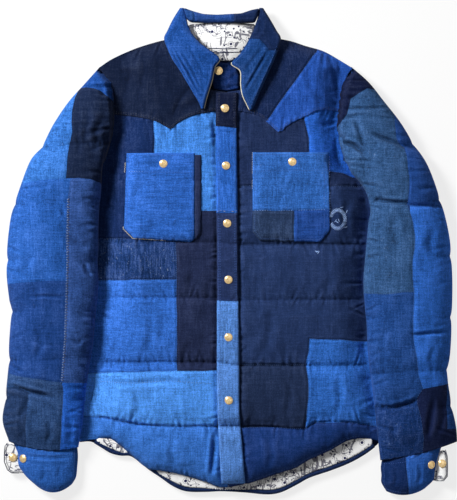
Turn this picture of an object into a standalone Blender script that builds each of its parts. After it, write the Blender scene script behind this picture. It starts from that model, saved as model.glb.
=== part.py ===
"""Patched boro jacket: padded, quilted, closed with brass snaps and laid flat on its back.

Metres, +Z up. The collar points to +Y and the wearer's left side to +X; left and right are
the wearer's. The tables are in millimetres, measured from the middle of the jacket. The back
lies flat on the ground, the fronts and yokes lie on it, and the sleeves lie beside the body
as flattened padded tubes, open at both ends.
"""

import math
from collections import namedtuple

import bpy
from mathutils import Vector
from mathutils.geometry import delaunay_2d_cdt

# ------------------------------------------------------------------ driving dimensions, mm
MM = 0.001
SEAM_GAP = 0.3            # between neighbouring pieces
FACET_GAP = 0.5           # the same, where two faceted curves lie on each other
FACING_GAP = 0.9          # the same, between a cuff's fold and its facing
ARMHOLE_GAP = 1.1         # the same, between the faceted rings of sleeve and body
BACK_THICKNESS = 8.0      # padded back, pressed flat by what lies on it
BACK_ROUND = 2.5          # rounding of the back's rim
CROWN = 33.0              # height of a front's baffles above the ground
SIDE_ROUND = 38.0         # width over which a front rounds off to its side seam
SHOULDER_ROUND = 46.0     # the same at the shoulder seam
HEM_ROUND = 16.0          # the same at the hem
QUILT_WIDTH = 16.0        # reach of a quilting line's dip to each side
PATCH_THICKNESS = 2.4     # pockets, sewn on the fronts
PLACKET_THICKNESS = 3.2
LINING_THICKNESS = 1.4
LINING_INSET = 2.2        # from the fronts' hem to the lining of the back
HEM_EDGE = 7.0            # turned-up edge of the back's hem
HEM_EDGE_SHARE = 0.35     # most that edge takes of the strip between the two hems
LINING_ROUND = 0.6        # rounding of a lining's or facing's upper rim
COLLAR_LOFT = 9.0
LEAF_RIM = 3.5            # thickness of a leaf at its edges
LEAF_FULLNESS = 2.2       # how soon it reaches its loft from there
LEAF_ROWS = 19
STAND_HEIGHT = 25.0       # a leaf that lies higher than this follows the body below it
BAND_TOP = 27.0           # collar band between the two leaves
BAND_ROUND = 3.5
BACK_COLLAR_TOP = 25.0
BACK_COLLAR_ROUND = 4.0
SLIT = 0.8                # between a sleeve's front and back walls
FOLD_SLIT = 0.02          # share of the slit left at its two ends
FOLD_SHARE = 0.09         # share of a tube's width that is cloth beside the slit, at each fold
TOP_FULLNESS = 0.8        # lower means a fuller tube, with steeper sides
UNDER_FULLNESS = 1.5      # how soon its lower wall reaches the ground
ARMHOLE_MID = 10.0        # height of both folds where a sleeve is set in
SLEEVE_RINGS = 26
CUFF_RINGS = 7
SLEEVE_MID_OUT = 14.0     # height of a sleeve's outer fold
SLEEVE_MID_IN = 21.0      # height of its inner fold, which rides up on the body's side
CUFF_MID = 9.0
FACING_BOTTOM = 8.0
FACING_THICKNESS = 2.0
SNAP_DIAMETER = 13.0
SNAP_HEIGHT = 2.6
SNAP_PROFILE = (          # share of the radius, height
    (0.92, 0.0), (1.0, 0.5), (0.97, 1.4), (0.72, 2.3), (0.3, SNAP_HEIGHT),
)

# ------------------------------------------------------------------ tables, mm
Armhole = namedtuple("Armhole", "y right left")
ARMHOLES = (              # the seams where the sleeves are set in
    Armhole(146, -201, 184),
    Armhole(170, -195, 178),
    Armhole(198, -189, 174),
    Armhole(225, -188, 176),
    Armhole(255, -190, 179),
    Armhole(272, -194, 182),
    Armhole(285, -201, 188),
    Armhole(293, -209, 195),
)
ARMPIT_Y = ARMHOLES[0].y

Edge = namedtuple("Edge", "y height tuck")
EDGES = (                 # height of the fronts' side edge, and how far a sleeve covers it
    Edge(-312, 12, 2.3),
    Edge(20, 12, 2.3),
    Edge(60, 12, 1.0),
    Edge(100, 12, -0.3),
    Edge(146, 15, -1.3),
    Edge(170, 20, 0),
    Edge(225, 21, 0),
    Edge(255, 20, 0),
    Edge(293, 14, 0),
)

Hem = namedtuple("Hem", "x front back")
HEMS = (
    Hem(-243, -305, -306),
    Hem(-222, -302, -305),
    Hem(-205, -300, -314),
    Hem(-190, -301, -323),
    Hem(-175, -312, -327),
    Hem(-158, -326, -328),
    Hem(-140, -342, -340),
    Hem(-128, -349, -350),
    Hem(-110, -352, -362),
    Hem(-90, -355, -376),
    Hem(-70, -360, -384),
    Hem(-40, -369, -385),
    Hem(-14, -378, -384),
    Hem(25, -373, -386),
    Hem(60, -362, -389),
    Hem(80, -355, -386),
    Hem(105, -347, -374),
    Hem(125, -335, -363),
    Hem(160, -319, -351),
    Hem(190, -303, -339),
    Hem(215, -300, -325),
    Hem(240, -304, -306),
)

Point = namedtuple("Point", "x y")
LOW_QUILTING = (          # the wavy quilting line above the hem
    Point(-235, -262),
    Point(-190, -268),
    Point(-145, -277),
    Point(-100, -279),
    Point(60, -280),
    Point(118, -284),
    Point(135, -274),
    Point(190, -273),
    Point(235, -280),
)

Quilting = namedtuple("Quilting", "right left kept")
QUILTING = (              # straight lines: height on each front, and the loft kept there
    Quilting(-177, -182, 0.62),
    Quilting(-74, -77, 0.62),
    Quilting(15, 11, 0.66),
    Quilting(113, 103, 0.80),
)
LOW_KEPT = 0.62
STEP_FROM_X = -20.0       # under the placket the straight lines step from one height to the other
STEP_WIDTH = 30.0

YOKE_LINE = (
    Point(-195, 219),
    Point(-150, 214),
    Point(-120, 207),
    Point(-104, 199),
    Point(-94, 194),
    Point(-84, 203),
    Point(-60, 215),
    Point(-22, 222),
    Point(12, 222),
    Point(45, 215),
    Point(66, 199),
    Point(79, 189),
    Point(92, 200),
    Point(118, 213),
    Point(145, 224),
    Point(185, 221),
)

SHOULDER_LINE = (
    Point(-212, 291),
    Point(-190, 306),
    Point(-155, 322),
    Point(-125, 332),
    Point(-95, 339),
    Point(-60, 342),
    Point(55, 342),
    Point(95, 336),
    Point(120, 328),
    Point(150, 319),
    Point(175, 305),
    Point(198, 291),
)

Neck = namedtuple("Neck", "rise right left")
NECK_Y = 253.0            # lowest point of the front neckline
NECK = (                  # the neckline's edges, by the rise from there to the shoulders
    Neck(0.0, -5.3, -5.3),
    Neck(0.04, -31, 18.5),
    Neck(0.25, -38, 27),
    Neck(0.50, -48, 36),
    Neck(0.75, -62, 48),
    Neck(1.0, -74, 60),
)

BACK_NECK = (
    Point(-74, 352),
    Point(-66, 361),
    Point(-40, 364),
    Point(10, 364),
    Point(38, 363),
    Point(48, 352),
)

BACK_HEM_INSET = 4.0      # from the ends of the hem tables to the back's side seams
BACK_HEM_STEPS = 22
BACK_SIDE_Y = (-290, -250, -200, -150, -100, -60, -20, 20, 60, 90, 115, 135, 150, 170, 190, 210,
               230, 250, 265, 277, 287)
BACK_SHOULDER_LEFT_X = (193, 175, 150, 120, 95, 66)
BACK_NECK_X = (48, 38, 20, 0, -20, -45, -66, -74)
BACK_SHOULDER_RIGHT_X = (-95, -125, -155, -180, -206)

Strip = namedtuple("Strip", "y right left")
PLACKET = (
    Strip(-371, -13.5, 24.5),
    Strip(-340, -16, 22),
    Strip(-300, -18, 19),
    Strip(-260, -20, 15.5),
    Strip(-200, -21, 15),
    Strip(0, -21, 13),
    Strip(195, -23, 11),
    Strip(252, -22, 12),
)

POCKET_RIGHT = (
    Point(-165, 156), Point(-167, 90), Point(-169, 36), Point(-153, 20),
    Point(-110, 17.5), Point(-62, 14), Point(-56.4, 20), Point(-56.4, 156),
)
POCKET_TAB_RIGHT = (
    Point(-56, 153), Point(-56, 22), Point(-54, 18), Point(-46, 27), Point(-46, 153),
)
POCKET_LEFT = (
    Point(36, 157), Point(36, 31), Point(48, 16), Point(144, 14.5), Point(159, 33),
    Point(157, 157),
)

Section = namedtuple("Section", "out_x out_y in_x in_y bow top")
SLEEVE_RIGHT = (          # from the armhole to the cuff: outer fold, inner fold, height
    Section(-209, 293, -202, 146, 15, 24),
    Section(-232, 266, -204, 132, 12, 36),
    Section(-257, 238, -205, 112, 8, 42),
    Section(-280, 204, -206, 92, 5, 46),
    Section(-299, 169, -208, 76, 2, 48),
    Section(-318, 144, -209, 60, 0, 48),
    Section(-335, 100, -210, 35, 0, 48),
    Section(-348, 60, -210, 10, 0, 48),
    Section(-355, 5, -211, -20, 0, 48),
    Section(-356, -35, -210, -48, 0, 48),
    Section(-352, -75, -212, -78, 0, 47),
    Section(-349, -98, -215, -105, 0, 46),
    Section(-352, -150, -219, -150, 0, 46),
    Section(-354, -195, -227, -198, 0, 44),
    Section(-359, -240, -232, -240, 0, 40),
    Section(-362, -272, -236, -278, -4, 38),
    Section(-352, -304, -242, -313, -9, 25),
)
SLEEVE_LEFT = (
    Section(195, 293, 185, 146, 12, 24),
    Section(221, 269, 193, 126, 10, 36),
    Section(245, 239, 206, 111, 7, 42),
    Section(270, 207, 217, 94, 4, 46),
    Section(293, 171, 222, 78, 2, 48),
    Section(313, 140, 224, 62, 0, 48),
    Section(328, 103, 221, 45, 0, 48),
    Section(341, 62, 219, 25, 0, 48),
    Section(351, 12, 216, -8, 0, 48),
    Section(354, -40, 213, -45, 0, 48),
    Section(354, -80, 214, -75, 0, 47),
    Section(353, -120, 218, -118, 0, 46),
    Section(351, -160, 220, -160, 0, 46),
    Section(347, -202, 224, -195, 0, 44),
    Section(352, -238, 230, -240, 0, 40),
    Section(360, -280, 235, -290, -3, 36.4),
    Section(362, -304, 240, -334, -4, 25),
)
CUFF_RIGHT = (
    Section(-347, -308.2, -244, -315.4, -8.5, 20),
    Section(-339, -324, -243, -328, -7, 24),
    Section(-338, -342, -244, -344, -8, 24),
    Section(-327, -359, -246, -361, -12, 22),
    Section(-312, -373, -252, -372, -13, 15),
)
CUFF_LEFT = (
    Section(339, -313.2, 243, -335.0, -3.7, 20),
    Section(332, -331, 241, -346, -5, 24),
    Section(328, -350, 242, -358, -6, 24),
    Section(325, -366, 242, -370, -8, 22),
    Section(312, -379, 250, -384, -8, 15),
)
SLEEVE_QUILTING_RIGHT = (170, 78, -15, -93, -172, -235)
SLEEVE_QUILTING_LEFT = (172, 79, -5, -104, -192, -247)
SLEEVE_KEPT = 0.74

Leaf = namedtuple("Leaf", "out_x out_y in_x in_y bed")
LEAF_RIGHT = (            # outer and lower edge, neck and front edge, height it lies at
    Leaf(-80, 388, -75, 388, 12),
    Leaf(-91, 370, -71, 372, 15),
    Leaf(-100, 351, -64, 353, 20),
    Leaf(-105, 338, -50, 334, 27),
    Leaf(-99, 320, -34, 321, 32),
    Leaf(-91, 303, -18, 306, 33.4),
    Leaf(-80, 287, -27, 292, 33.4),
    Leaf(-68, 267, -30, 272, 33.4),
    Leaf(-58, 250, -33, 256, 33.4),
    Leaf(-50, 236, -38, 240, 33.4),
    Leaf(-46, 226, -41, 227, 33.4),
)
LEAF_LEFT = (
    Leaf(53, 388, 48, 388, 12),
    Leaf(64, 370, 45, 370, 15),
    Leaf(74, 352, 36, 350, 20),
    Leaf(81, 338, 28, 333, 27),
    Leaf(76, 318, 16, 314, 32),
    Leaf(69, 300, 2, 298, 33.4),
    Leaf(60, 280, 16, 286, 33.4),
    Leaf(52, 262, 17, 264, 33.4),
    Leaf(45, 246, 20, 247, 33.4),
    Leaf(40, 234, 26, 234, 33.4),
    Leaf(36, 225, 31, 224, 33.4),
)
BACK_COLLAR = (
    Point(-70.2, 372), Point(-63, 366), Point(-40, 364.8), Point(0, 364.8), Point(30, 364.8),
    Point(40, 365.6), Point(44.8, 376), Point(46.9, 387), Point(34, 384.5), Point(18, 379),
    Point(-20, 377), Point(-42, 378), Point(-57, 382), Point(-74, 388), Point(-72.2, 380),
)
BAND = (
    Point(-26.5, 258.5), Point(-6, 255.5), Point(14, 258.5), Point(15, 276), Point(12, 291),
    Point(-2, 299), Point(-17, 301), Point(-26, 290), Point(-28, 274),
)
NECK_LINING = (
    Point(-66, 358), Point(-36, 361), Point(12, 361), Point(40, 358), Point(34, 330),
    Point(22, 310), Point(-1, 303), Point(-20, 305), Point(-40, 318), Point(-58, 338),
)
FACING_RIGHT = (          # free edge of each cuff slit's facing, from the seam down
    Point(-356, -306.5), Point(-360, -312), Point(-361, -324), Point(-361, -337),
    Point(-356, -350), Point(-349, -355), Point(-337, -355),
)
FACING_LEFT = (
    Point(344, -317), Point(347, -328), Point(347.5, -345), Point(347, -360),
    Point(341, -367), Point(329, -367.5),
)
FACING_STEPS = 5

Span = namedtuple("Span", "first last steps")
LINING_HEM_RIGHT = Span(-214, -163, 5)
LINING_HEM_LEFT = Span(-118, 228, 24)

SNAPS_PLACKET = (
    Point(-8, 227), Point(-6.5, 136), Point(-4.5, 44), Point(-2.5, -45.5),
    Point(-2.5, -137), Point(-2, -237.5),
)
SNAP_BAND = Point(-18, 287)
SNAPS_POCKET = (Point(-106, 139), Point(99, 142))
SNAPS_CUFF = (Point(-330, -331), Point(321, -341))
SNAPS_FACING = (Point(-347, -330), Point(338.6, -339))

COLUMNS = (0.0, 0.1, 0.2, 0.3, 0.4, 0.5, 0.6, 0.7, 0.8, 0.88, 0.95, 1.0)
ROWS = (0.0, 0.14, 0.5, 0.86)
ARMHOLE_ROWS = (0.0, 0.14, 0.3, 0.46, 0.62, 0.8)
YOKE_ROWS = (0.0, 0.3, 0.65)
NECK_ROWS = (0.0, 0.04, 0.25, 0.5, 0.75, 0.91)
LEAF_COLUMNS = (0.0, 0.1, 0.35, 0.65, 0.9, 1.0)
RING_POINTS = 16
SNAP_SIDES = 12
SETTLING_STEPS = 6        # to find where a slanting row meets the side seam
BESIDE = 1.0              # how far beside a facet a point may lie and still count as on it

# colours as (red, green, blue, roughness, metallic), linear
COLOURS = {
    "denim_navy": (0.013, 0.024, 0.075, 0.92, 0.0),
    "denim_blue": (0.030, 0.125, 0.490, 0.90, 0.0),
    "denim_light": (0.060, 0.240, 0.620, 0.90, 0.0),
    "denim_slate": (0.030, 0.075, 0.170, 0.92, 0.0),
    "lining_print": (0.870, 0.850, 0.810, 0.85, 0.0),
    "snap_brass": (0.560, 0.370, 0.150, 0.32, 1.0),
}


# ------------------------------------------------------------------ helpers
def clear_scene():
    for thing in list(bpy.data.objects):
        bpy.data.objects.remove(thing, do_unlink=True)


def material(name):
    found = bpy.data.materials.get(name)
    if found:
        return found
    red, green, blue, roughness, metallic = COLOURS[name]
    made = bpy.data.materials.new(name)
    made.use_nodes = True
    shader = made.node_tree.nodes["Principled BSDF"]
    shader.inputs["Base Color"].default_value = (red, green, blue, 1.0)
    shader.inputs["Roughness"].default_value = roughness
    shader.inputs["Metallic"].default_value = metallic
    return made


def add_object(name, points, faces, finish):
    """Add a closed mesh, given in millimetres, as a named object."""
    mesh = bpy.data.meshes.new(name)
    mesh.from_pydata([Vector(p) * MM for p in points], [], faces)
    mesh.materials.append(material(finish))
    mesh.validate()
    piece = bpy.data.objects.new(name, mesh)
    bpy.context.collection.objects.link(piece)
    return piece


def curve(knots, values):
    """A smooth function through the values at the knots, level beyond both ends."""
    last = len(knots) - 1
    slopes = []
    for i in range(last + 1):
        before = max(i - 1, 0)
        after = min(i + 1, last)
        slopes.append((values[after] - values[before]) / (knots[after] - knots[before]))

    def at(t):
        t = min(max(t, knots[0]), knots[last])
        i = 0
        while i < last - 1 and t > knots[i + 1]:
            i += 1
        span = knots[i + 1] - knots[i]
        f = (t - knots[i]) / span
        rise = f * f * (3 - 2 * f)
        start = f * (1 - f) * (1 - f) * slopes[i] * span
        end = f * f * (f - 1) * slopes[i + 1] * span
        return values[i] * (1 - rise) + values[i + 1] * rise + start + end

    return at


def column(table, key, value):
    """The smooth function that one column of a table gives over another."""
    return curve([getattr(row, key) for row in table], [getattr(row, value) for row in table])


def mix(a, b, f):
    return a + (b - a) * f


def dome(f):
    """Quarter of a circle: 0 at the edge, 1 from the full width on."""
    f = min(max(f, 0.0), 1.0)
    return math.sqrt(1 - (1 - f) ** 2)


# ------------------------------------------------------------------ the body's outline
armhole_right = column(ARMHOLES, "y", "right")
armhole_left = column(ARMHOLES, "y", "left")
side_edge = column(EDGES, "y", "height")
side_tuck = column(EDGES, "y", "tuck")
fold_right = column(SLEEVE_RIGHT[::-1], "in_y", "in_x")
fold_left = column(SLEEVE_LEFT[::-1], "in_y", "in_x")
hem_front = column(HEMS, "x", "front")
hem_back = column(HEMS, "x", "back")
low_quilting = column(LOW_QUILTING, "x", "y")
yoke_line = column(YOKE_LINE, "x", "y")
shoulder_line = column(SHOULDER_LINE, "x", "y")
back_neck = column(BACK_NECK, "x", "y")
placket_right = column(PLACKET, "y", "right")
placket_left = column(PLACKET, "y", "left")
neck_right = column(NECK, "rise", "right")
neck_left = column(NECK, "rise", "left")


def side_right(y):
    """The armhole, and below it the side seam, which follows the sleeve's inner fold."""
    return armhole_right(y) if y > ARMPIT_Y else fold_right(y) - side_tuck(y)


def side_left(y):
    return armhole_left(y) if y > ARMPIT_Y else fold_left(y) + side_tuck(y)


def centre(y):
    return (placket_right(y) + placket_left(y)) / 2


def straight_quilting(line):
    """The line's height over x: it steps from one front to the other under the placket."""
    def at(x):
        f = min(max((x - STEP_FROM_X) / STEP_WIDTH, 0.0), 1.0)
        return mix(line.right, line.left, f)
    return at


def neck_level(x):
    return NECK_Y


QUILTING_LINES = [(low_quilting, LOW_KEPT)]
QUILTING_LINES += [(straight_quilting(line), line.kept) for line in QUILTING]
FRONT_COURSES = [hem_front] + [line for line, _ in QUILTING_LINES] + [yoke_line]
YOKE_COURSES = [yoke_line, neck_level, shoulder_line]


def front_height(x, y):
    """Height of the top of the fronts and yokes above the ground."""
    edge = side_edge(y)
    to_side = min(x - side_right(y), side_left(y) - x)
    full = dome(to_side / SIDE_ROUND)
    full *= dome((shoulder_line(x) - y) / SHOULDER_ROUND)
    full *= dome((y - hem_front(x)) / HEM_ROUND)
    for line, kept in QUILTING_LINES:
        full *= 1 - (1 - kept) * math.exp(-abs(y - line(x)) / QUILT_WIDTH)
    return mix(edge, CROWN, full)


def course_row(low, high, f, side, neck):
    """A row of points of a front, f of the way between two courses, inner edge first."""
    def height(x):
        return mix(low(x), high(x), f)

    inner = neck if neck is not None else centre(height(0.0))
    outer = side(YOKE_LINE[0].y)
    for _ in range(SETTLING_STEPS):
        outer = side(height(outer))
    row = []
    for u in COLUMNS:
        x = mix(inner, outer, u)
        row.append((x, height(x)))
    return row


def front_rows(side):
    rows = []
    for low, high in zip(FRONT_COURSES, FRONT_COURSES[1:]):
        fractions = ARMHOLE_ROWS if high is yoke_line else ROWS
        rows += [course_row(low, high, f, side, None) for f in fractions]
    return rows + [course_row(low, high, 1.0, side, None)]


def yoke_rows(side, neck):
    line, level, shoulder = YOKE_COURSES
    rows = [course_row(line, level, f, side, None) for f in YOKE_ROWS]
    rows.append(course_row(level, shoulder, 0.0, side, None))
    for f in NECK_ROWS[1:]:
        rows.append(course_row(level, shoulder, f, side, neck(f)))
    return rows + [course_row(level, shoulder, 1.0, side, neck(1.0))]


# ------------------------------------------------------------------ solids
def inside(x, y, outline):
    """Whether a point is within a closed outline."""
    within = False
    for i, a in enumerate(outline):
        b = outline[i - 1]
        if (a[1] > y) != (b[1] > y):
            if x < (b[0] - a[0]) * (y - a[1]) / (b[1] - a[1]) + a[0]:
                within = not within
    return within


def area(a, b, c):
    return ((b[0] - a[0]) * (c[1] - a[1]) - (c[0] - a[0]) * (b[1] - a[1])) / 2


def slab(name, flat, triangles, low, high, finish):
    """A closed wall over a flat triangle mesh, between two heights for each point."""
    count = len(flat)
    points = [(p[0], p[1], z) for p, z in zip(flat, low)]
    points += [(p[0], p[1], z) for p, z in zip(flat, high)]
    faces = []
    edges = {}
    for a, b, c in triangles:
        if area(flat[a], flat[b], flat[c]) < 0:
            b, c = c, b
        faces.append((a + count, b + count, c + count))
        faces.append((a, c, b))
        for edge in ((a, b), (b, c), (c, a)):
            edges[edge] = True
    for a, b in edges:
        if (b, a) not in edges:
            faces.append((a, b, b + count))
            faces.append((a, b + count, a + count))
    return add_object(name, points, faces, finish)


def grid_triangles(rows, columns):
    """Both triangles of each cell of a grid, its points counted row by row."""
    triangles = []
    for r in range(rows - 1):
        for c in range(columns - 1):
            a = r * columns + c
            triangles.append((a, a + 1, a + columns + 1))
            triangles.append((a, a + columns + 1, a + columns))
    return triangles


class Surface:
    """A faceted top surface that other pieces are laid on."""

    def __init__(self):
        self.points = []
        self.triangles = []

    def add(self, points, triangles):
        start = len(self.points)
        self.points += points
        self.triangles += [tuple(i + start for i in t) for t in triangles]

    def height(self, x, y):
        """Height of the facet under a point, or of the nearest one beside it."""
        best = -1e9
        found = 0.0
        for triangle in self.triangles:
            a, b, c = (self.points[i] for i in triangle)
            if min(a[0], b[0], c[0]) > x + BESIDE or max(a[0], b[0], c[0]) < x - BESIDE:
                continue
            if min(a[1], b[1], c[1]) > y + BESIDE or max(a[1], b[1], c[1]) < y - BESIDE:
                continue
            whole = area(a, b, c)
            if abs(whole) < 1e-6:
                continue
            at_a = area((x, y), b, c) / whole
            at_b = area(a, (x, y), c) / whole
            at_c = 1 - at_a - at_b
            score = min(at_a, at_b, at_c)
            if score > best:
                best = score
                found = a[2] * at_a + b[2] * at_b + c[2] * at_c
        return found

    def patch(self, outline):
        """The surface's own facets inside an outline: flat points, triangles and heights."""
        flat = [Vector((p[0], p[1])) for p in self.points]
        edges = []
        for a, b, c in self.triangles:
            edges += [(a, b), (b, c), (c, a)]
        start = len(flat)
        flat += [Vector((p[0], p[1])) for p in outline]
        edges += [(start + i, start + (i + 1) % len(outline)) for i in range(len(outline))]
        made = delaunay_2d_cdt(flat, edges, [], 0, 1e-3)
        used = {}
        triangles = []
        for face in made[2]:
            middle = sum((made[0][i] for i in face), Vector((0.0, 0.0))) / 3
            if not inside(middle.x, middle.y, outline):
                continue
            triangles.append(tuple(used.setdefault(i, len(used)) for i in face))
        points = [tuple(made[0][i]) for i in used]
        heights = [self.height(x, y) for x, y in points]
        return points, triangles, heights


def laid_piece(name, surface, outline, thickness, finish):
    """A thin piece of even thickness on a faceted surface."""
    flat, triangles, heights = surface.patch(outline)
    low = [z + SEAM_GAP for z in heights]
    high = [z + thickness for z in low]
    return slab(name, flat, triangles, low, high, finish)


def inset(outline, distance):
    """The outline moved inwards, point by point."""
    turn = sum(a[0] * b[1] - b[0] * a[1] for a, b in zip(outline, outline[1:] + outline[:1]))
    sign = 1 if turn > 0 else -1
    moved = []
    for i, p in enumerate(outline):
        before = Vector(p) - Vector(outline[i - 1])
        after = Vector(outline[(i + 1) % len(outline)]) - Vector(p)
        along = (before.normalized() + after.normalized()).normalized()
        moved.append((p[0] - along.y * distance * sign, p[1] + along.x * distance * sign))
    return moved


def plate(name, outline, bottom, top, rounding, finish):
    """A flat piece whose upper rim is rounded off in one step."""
    outline = [tuple(p) for p in outline]
    inner = inset(outline, rounding)
    flat = [Vector(p) for p in outline + inner]
    count = len(outline)
    edges = [(i, (i + 1) % count) for i in range(count)]
    edges += [(count + i, count + (i + 1) % count) for i in range(count)]
    made = delaunay_2d_cdt(flat, edges, [], 0, 1e-4)
    triangles = []
    for face in made[2]:
        middle = sum((made[0][i] for i in face), Vector((0.0, 0.0))) / 3
        if inside(middle.x, middle.y, outline):
            triangles.append(tuple(face))
    points = [tuple(p) for p in made[0]]
    rim = [any(i < count for i in source) for source in made[3]]
    high = [top - rounding if r else top for r in rim]
    low = [bottom] * len(points)
    return slab(name, points, triangles, low, high, finish)


def volume(points, faces):
    """Signed volume of a closed triangle mesh: negative where its faces point inwards."""
    total = 0.0
    for a, b, c in faces:
        total += Vector(points[a]).dot(Vector(points[b]).cross(Vector(points[c]))) / 6
    return total


def section_curve(table, key):
    """One column of a table of sections, as a smooth function of the section's number."""
    return curve(list(range(len(table))), [getattr(row, key) for row in table])


def tube(name, table, rings, mid_out, mid_in, quilting, kept, seam, finish):
    """A flattened padded tube: two walls with a slit between them, open at both ends."""
    out_x, out_y, in_x, in_y, bow, top = (section_curve(table, key) for key in Section._fields)
    points = []
    for r in range(rings):
        t = (len(table) - 1) * r / (rings - 1)
        start = Vector((out_x(t), out_y(t)))
        end = Vector((in_x(t), in_y(t)))
        across = (end - start).normalized()
        bulge = Vector((-across.y, across.x)) * (-4 * bow(t) if start.x > 0 else 4 * bow(t))
        outer = []
        inner = []
        for k in range(RING_POINTS):
            angle = 2 * math.pi * k / RING_POINTS
            u = (1 - math.cos(angle)) / 2
            flat = start.lerp(end, u) + bulge * u * (1 - u)
            if r == 0 and seam:
                flat = Vector((seam(flat.y), flat.y))
            mid = mix(mid_out, mid_in, u)
            if t < 1:
                mid = mix(ARMHOLE_MID, mid, t)
            swell = abs(math.sin(angle)) ** TOP_FULLNESS
            if angle < math.pi:
                full = 1.0
                for y in quilting:
                    full *= 1 - (1 - kept) * math.exp(-abs(flat.y - y) / QUILT_WIDTH)
                z = mid + (top(t) * full - mid) * swell
                slit = SLIT / 2
            else:
                z = max(0.0, mid - UNDER_FULLNESS * mid * swell)
                slit = -SLIT / 2
            outer.append((flat.x, flat.y, z))
            if k % 2 == 0:
                within = start.lerp(end, mix(FOLD_SHARE, 1 - FOLD_SHARE, u))
                within += bulge * u * (1 - u)
                if r == 0 and seam:
                    within = Vector((seam(within.y), within.y))
                level = mix(mid_out, mid_in, u)
                if t < 1:
                    level = mix(ARMHOLE_MID, level, t)
                level += slit * abs(math.sin(angle))
                if k % (RING_POINTS // 2) == 0:
                    level += SLIT * FOLD_SLIT
                inner.append((within.x, within.y, level))
        points += outer + inner
    half = RING_POINTS // 2
    size = RING_POINTS + half
    faces = []
    for r in range(rings - 1):
        for k in range(RING_POINTS):
            a = r * size + k
            b = r * size + (k + 1) % RING_POINTS
            faces += [(a, b, b + size), (a, b + size, a + size)]
        for k in range(half):
            a = r * size + RING_POINTS + k
            b = r * size + RING_POINTS + (k + 1) % half
            faces += [(a, b + size, b), (a, a + size, b + size)]
    for ring, flip in ((0, False), (rings - 1, True)):
        first = ring * size
        for k in range(half):
            near = first + RING_POINTS + k
            far = first + RING_POINTS + (k + 1) % half
            a = first + 2 * k
            b = first + 2 * k + 1
            c = first + (2 * k + 2) % RING_POINTS
            for face in ((near, b, a), (near, far, b), (far, c, b)):
                faces.append(tuple(reversed(face)) if flip else face)
    if volume(points, faces) < 0:
        faces = [tuple(reversed(face)) for face in faces]
    add_object(name, points, faces, finish)
    upper = Surface()
    triangles = [f for f in faces if max(i % size for i in f) <= half]
    upper.add(points, triangles)
    return upper


# ------------------------------------------------------------------ pieces
def front_and_yoke(side_name, side, neck, body_top):
    """One front up to the yoke line, and the yoke from there to the shoulder."""
    sign = -1 if side is side_right else 1
    for name, rows in (
        ("front_" + side_name, front_rows(side)),
        ("yoke_" + side_name, yoke_rows(side, neck)),
    ):
        flat = [p for row in rows for p in row]
        triangles = grid_triangles(len(rows), len(COLUMNS))
        heights = [front_height(x, y) for x, y in flat]
        body_top.add([(x, y, z) for (x, y), z in zip(flat, heights)], triangles)
        moved = []
        for i, (x, y) in enumerate(flat):
            if i % len(COLUMNS) == 0:
                x += sign * SEAM_GAP / 2
            if name.startswith("front") and i >= (len(rows) - 1) * len(COLUMNS):
                y -= SEAM_GAP / 2
            if name.startswith("yoke") and i < len(COLUMNS):
                y += SEAM_GAP / 2
            moved.append((x, y))
        low = [BACK_THICKNESS + SEAM_GAP] * len(flat)
        finish = "denim_blue" if name.startswith("front") else "denim_navy"
        slab(name, moved, triangles, low, heights, finish)


def back_panel():
    """The back: side seams, armholes, shoulders, neck and shirt-tail hem."""
    outline = []
    for i in range(BACK_HEM_STEPS + 1):
        f = i / BACK_HEM_STEPS
        x = mix(HEMS[0].x + BACK_HEM_INSET, HEMS[-1].x - BACK_HEM_INSET, f)
        outline.append((x, hem_back(x)))
    outline += [(side_left(y), y) for y in BACK_SIDE_Y]
    outline += [(x, shoulder_line(x)) for x in BACK_SHOULDER_LEFT_X]
    outline += [(x, back_neck(x)) for x in BACK_NECK_X]
    outline += [(x, shoulder_line(x)) for x in BACK_SHOULDER_RIGHT_X]
    outline += [(side_right(y), y) for y in reversed(BACK_SIDE_Y)]
    plate("back", outline, 0.0, BACK_THICKNESS, BACK_ROUND, "denim_blue")


def hem_lining(name, span):
    """A strip of the back's lining that shows between its edge and the fronts' hem."""
    flat = []
    for i in range(span.steps + 1):
        x = mix(span.first, span.last, i / span.steps)
        width = hem_front(x) - hem_back(x)
        flat.append((x, hem_back(x) + min(HEM_EDGE, HEM_EDGE_SHARE * width)))
        flat.append((x, hem_front(x) - LINING_INSET))
    low = [BACK_THICKNESS + SEAM_GAP] * len(flat)
    high = [z + LINING_THICKNESS for z in low]
    slab(name, flat, grid_triangles(span.steps + 1, 2), low, high, "lining_print")


def collar_leaf(name, table):
    """One leaf of the collar: a padded flap that follows what it lies on."""
    out_x, out_y, in_x, in_y, bed = (section_curve(table, key) for key in Leaf._fields)
    flat = []
    low = []
    high = []
    for r in range(LEAF_ROWS):
        t = (len(table) - 1) * r / (LEAF_ROWS - 1)
        for u in LEAF_COLUMNS:
            x = mix(out_x(t), in_x(t), u)
            y = mix(out_y(t), in_y(t), u)
            bottom = bed(t)
            if bottom > STAND_HEIGHT:
                bottom = max(bottom, front_height(x, y) + FACET_GAP)
            edge = min(u, 1 - u) * 2
            loft = mix(LEAF_RIM, COLLAR_LOFT, dome(edge * LEAF_FULLNESS))
            flat.append((x, y))
            low.append(bottom)
            high.append(bottom + loft)
    triangles = grid_triangles(LEAF_ROWS, len(LEAF_COLUMNS))
    slab(name, flat, triangles, low, high, "denim_blue")


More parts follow.
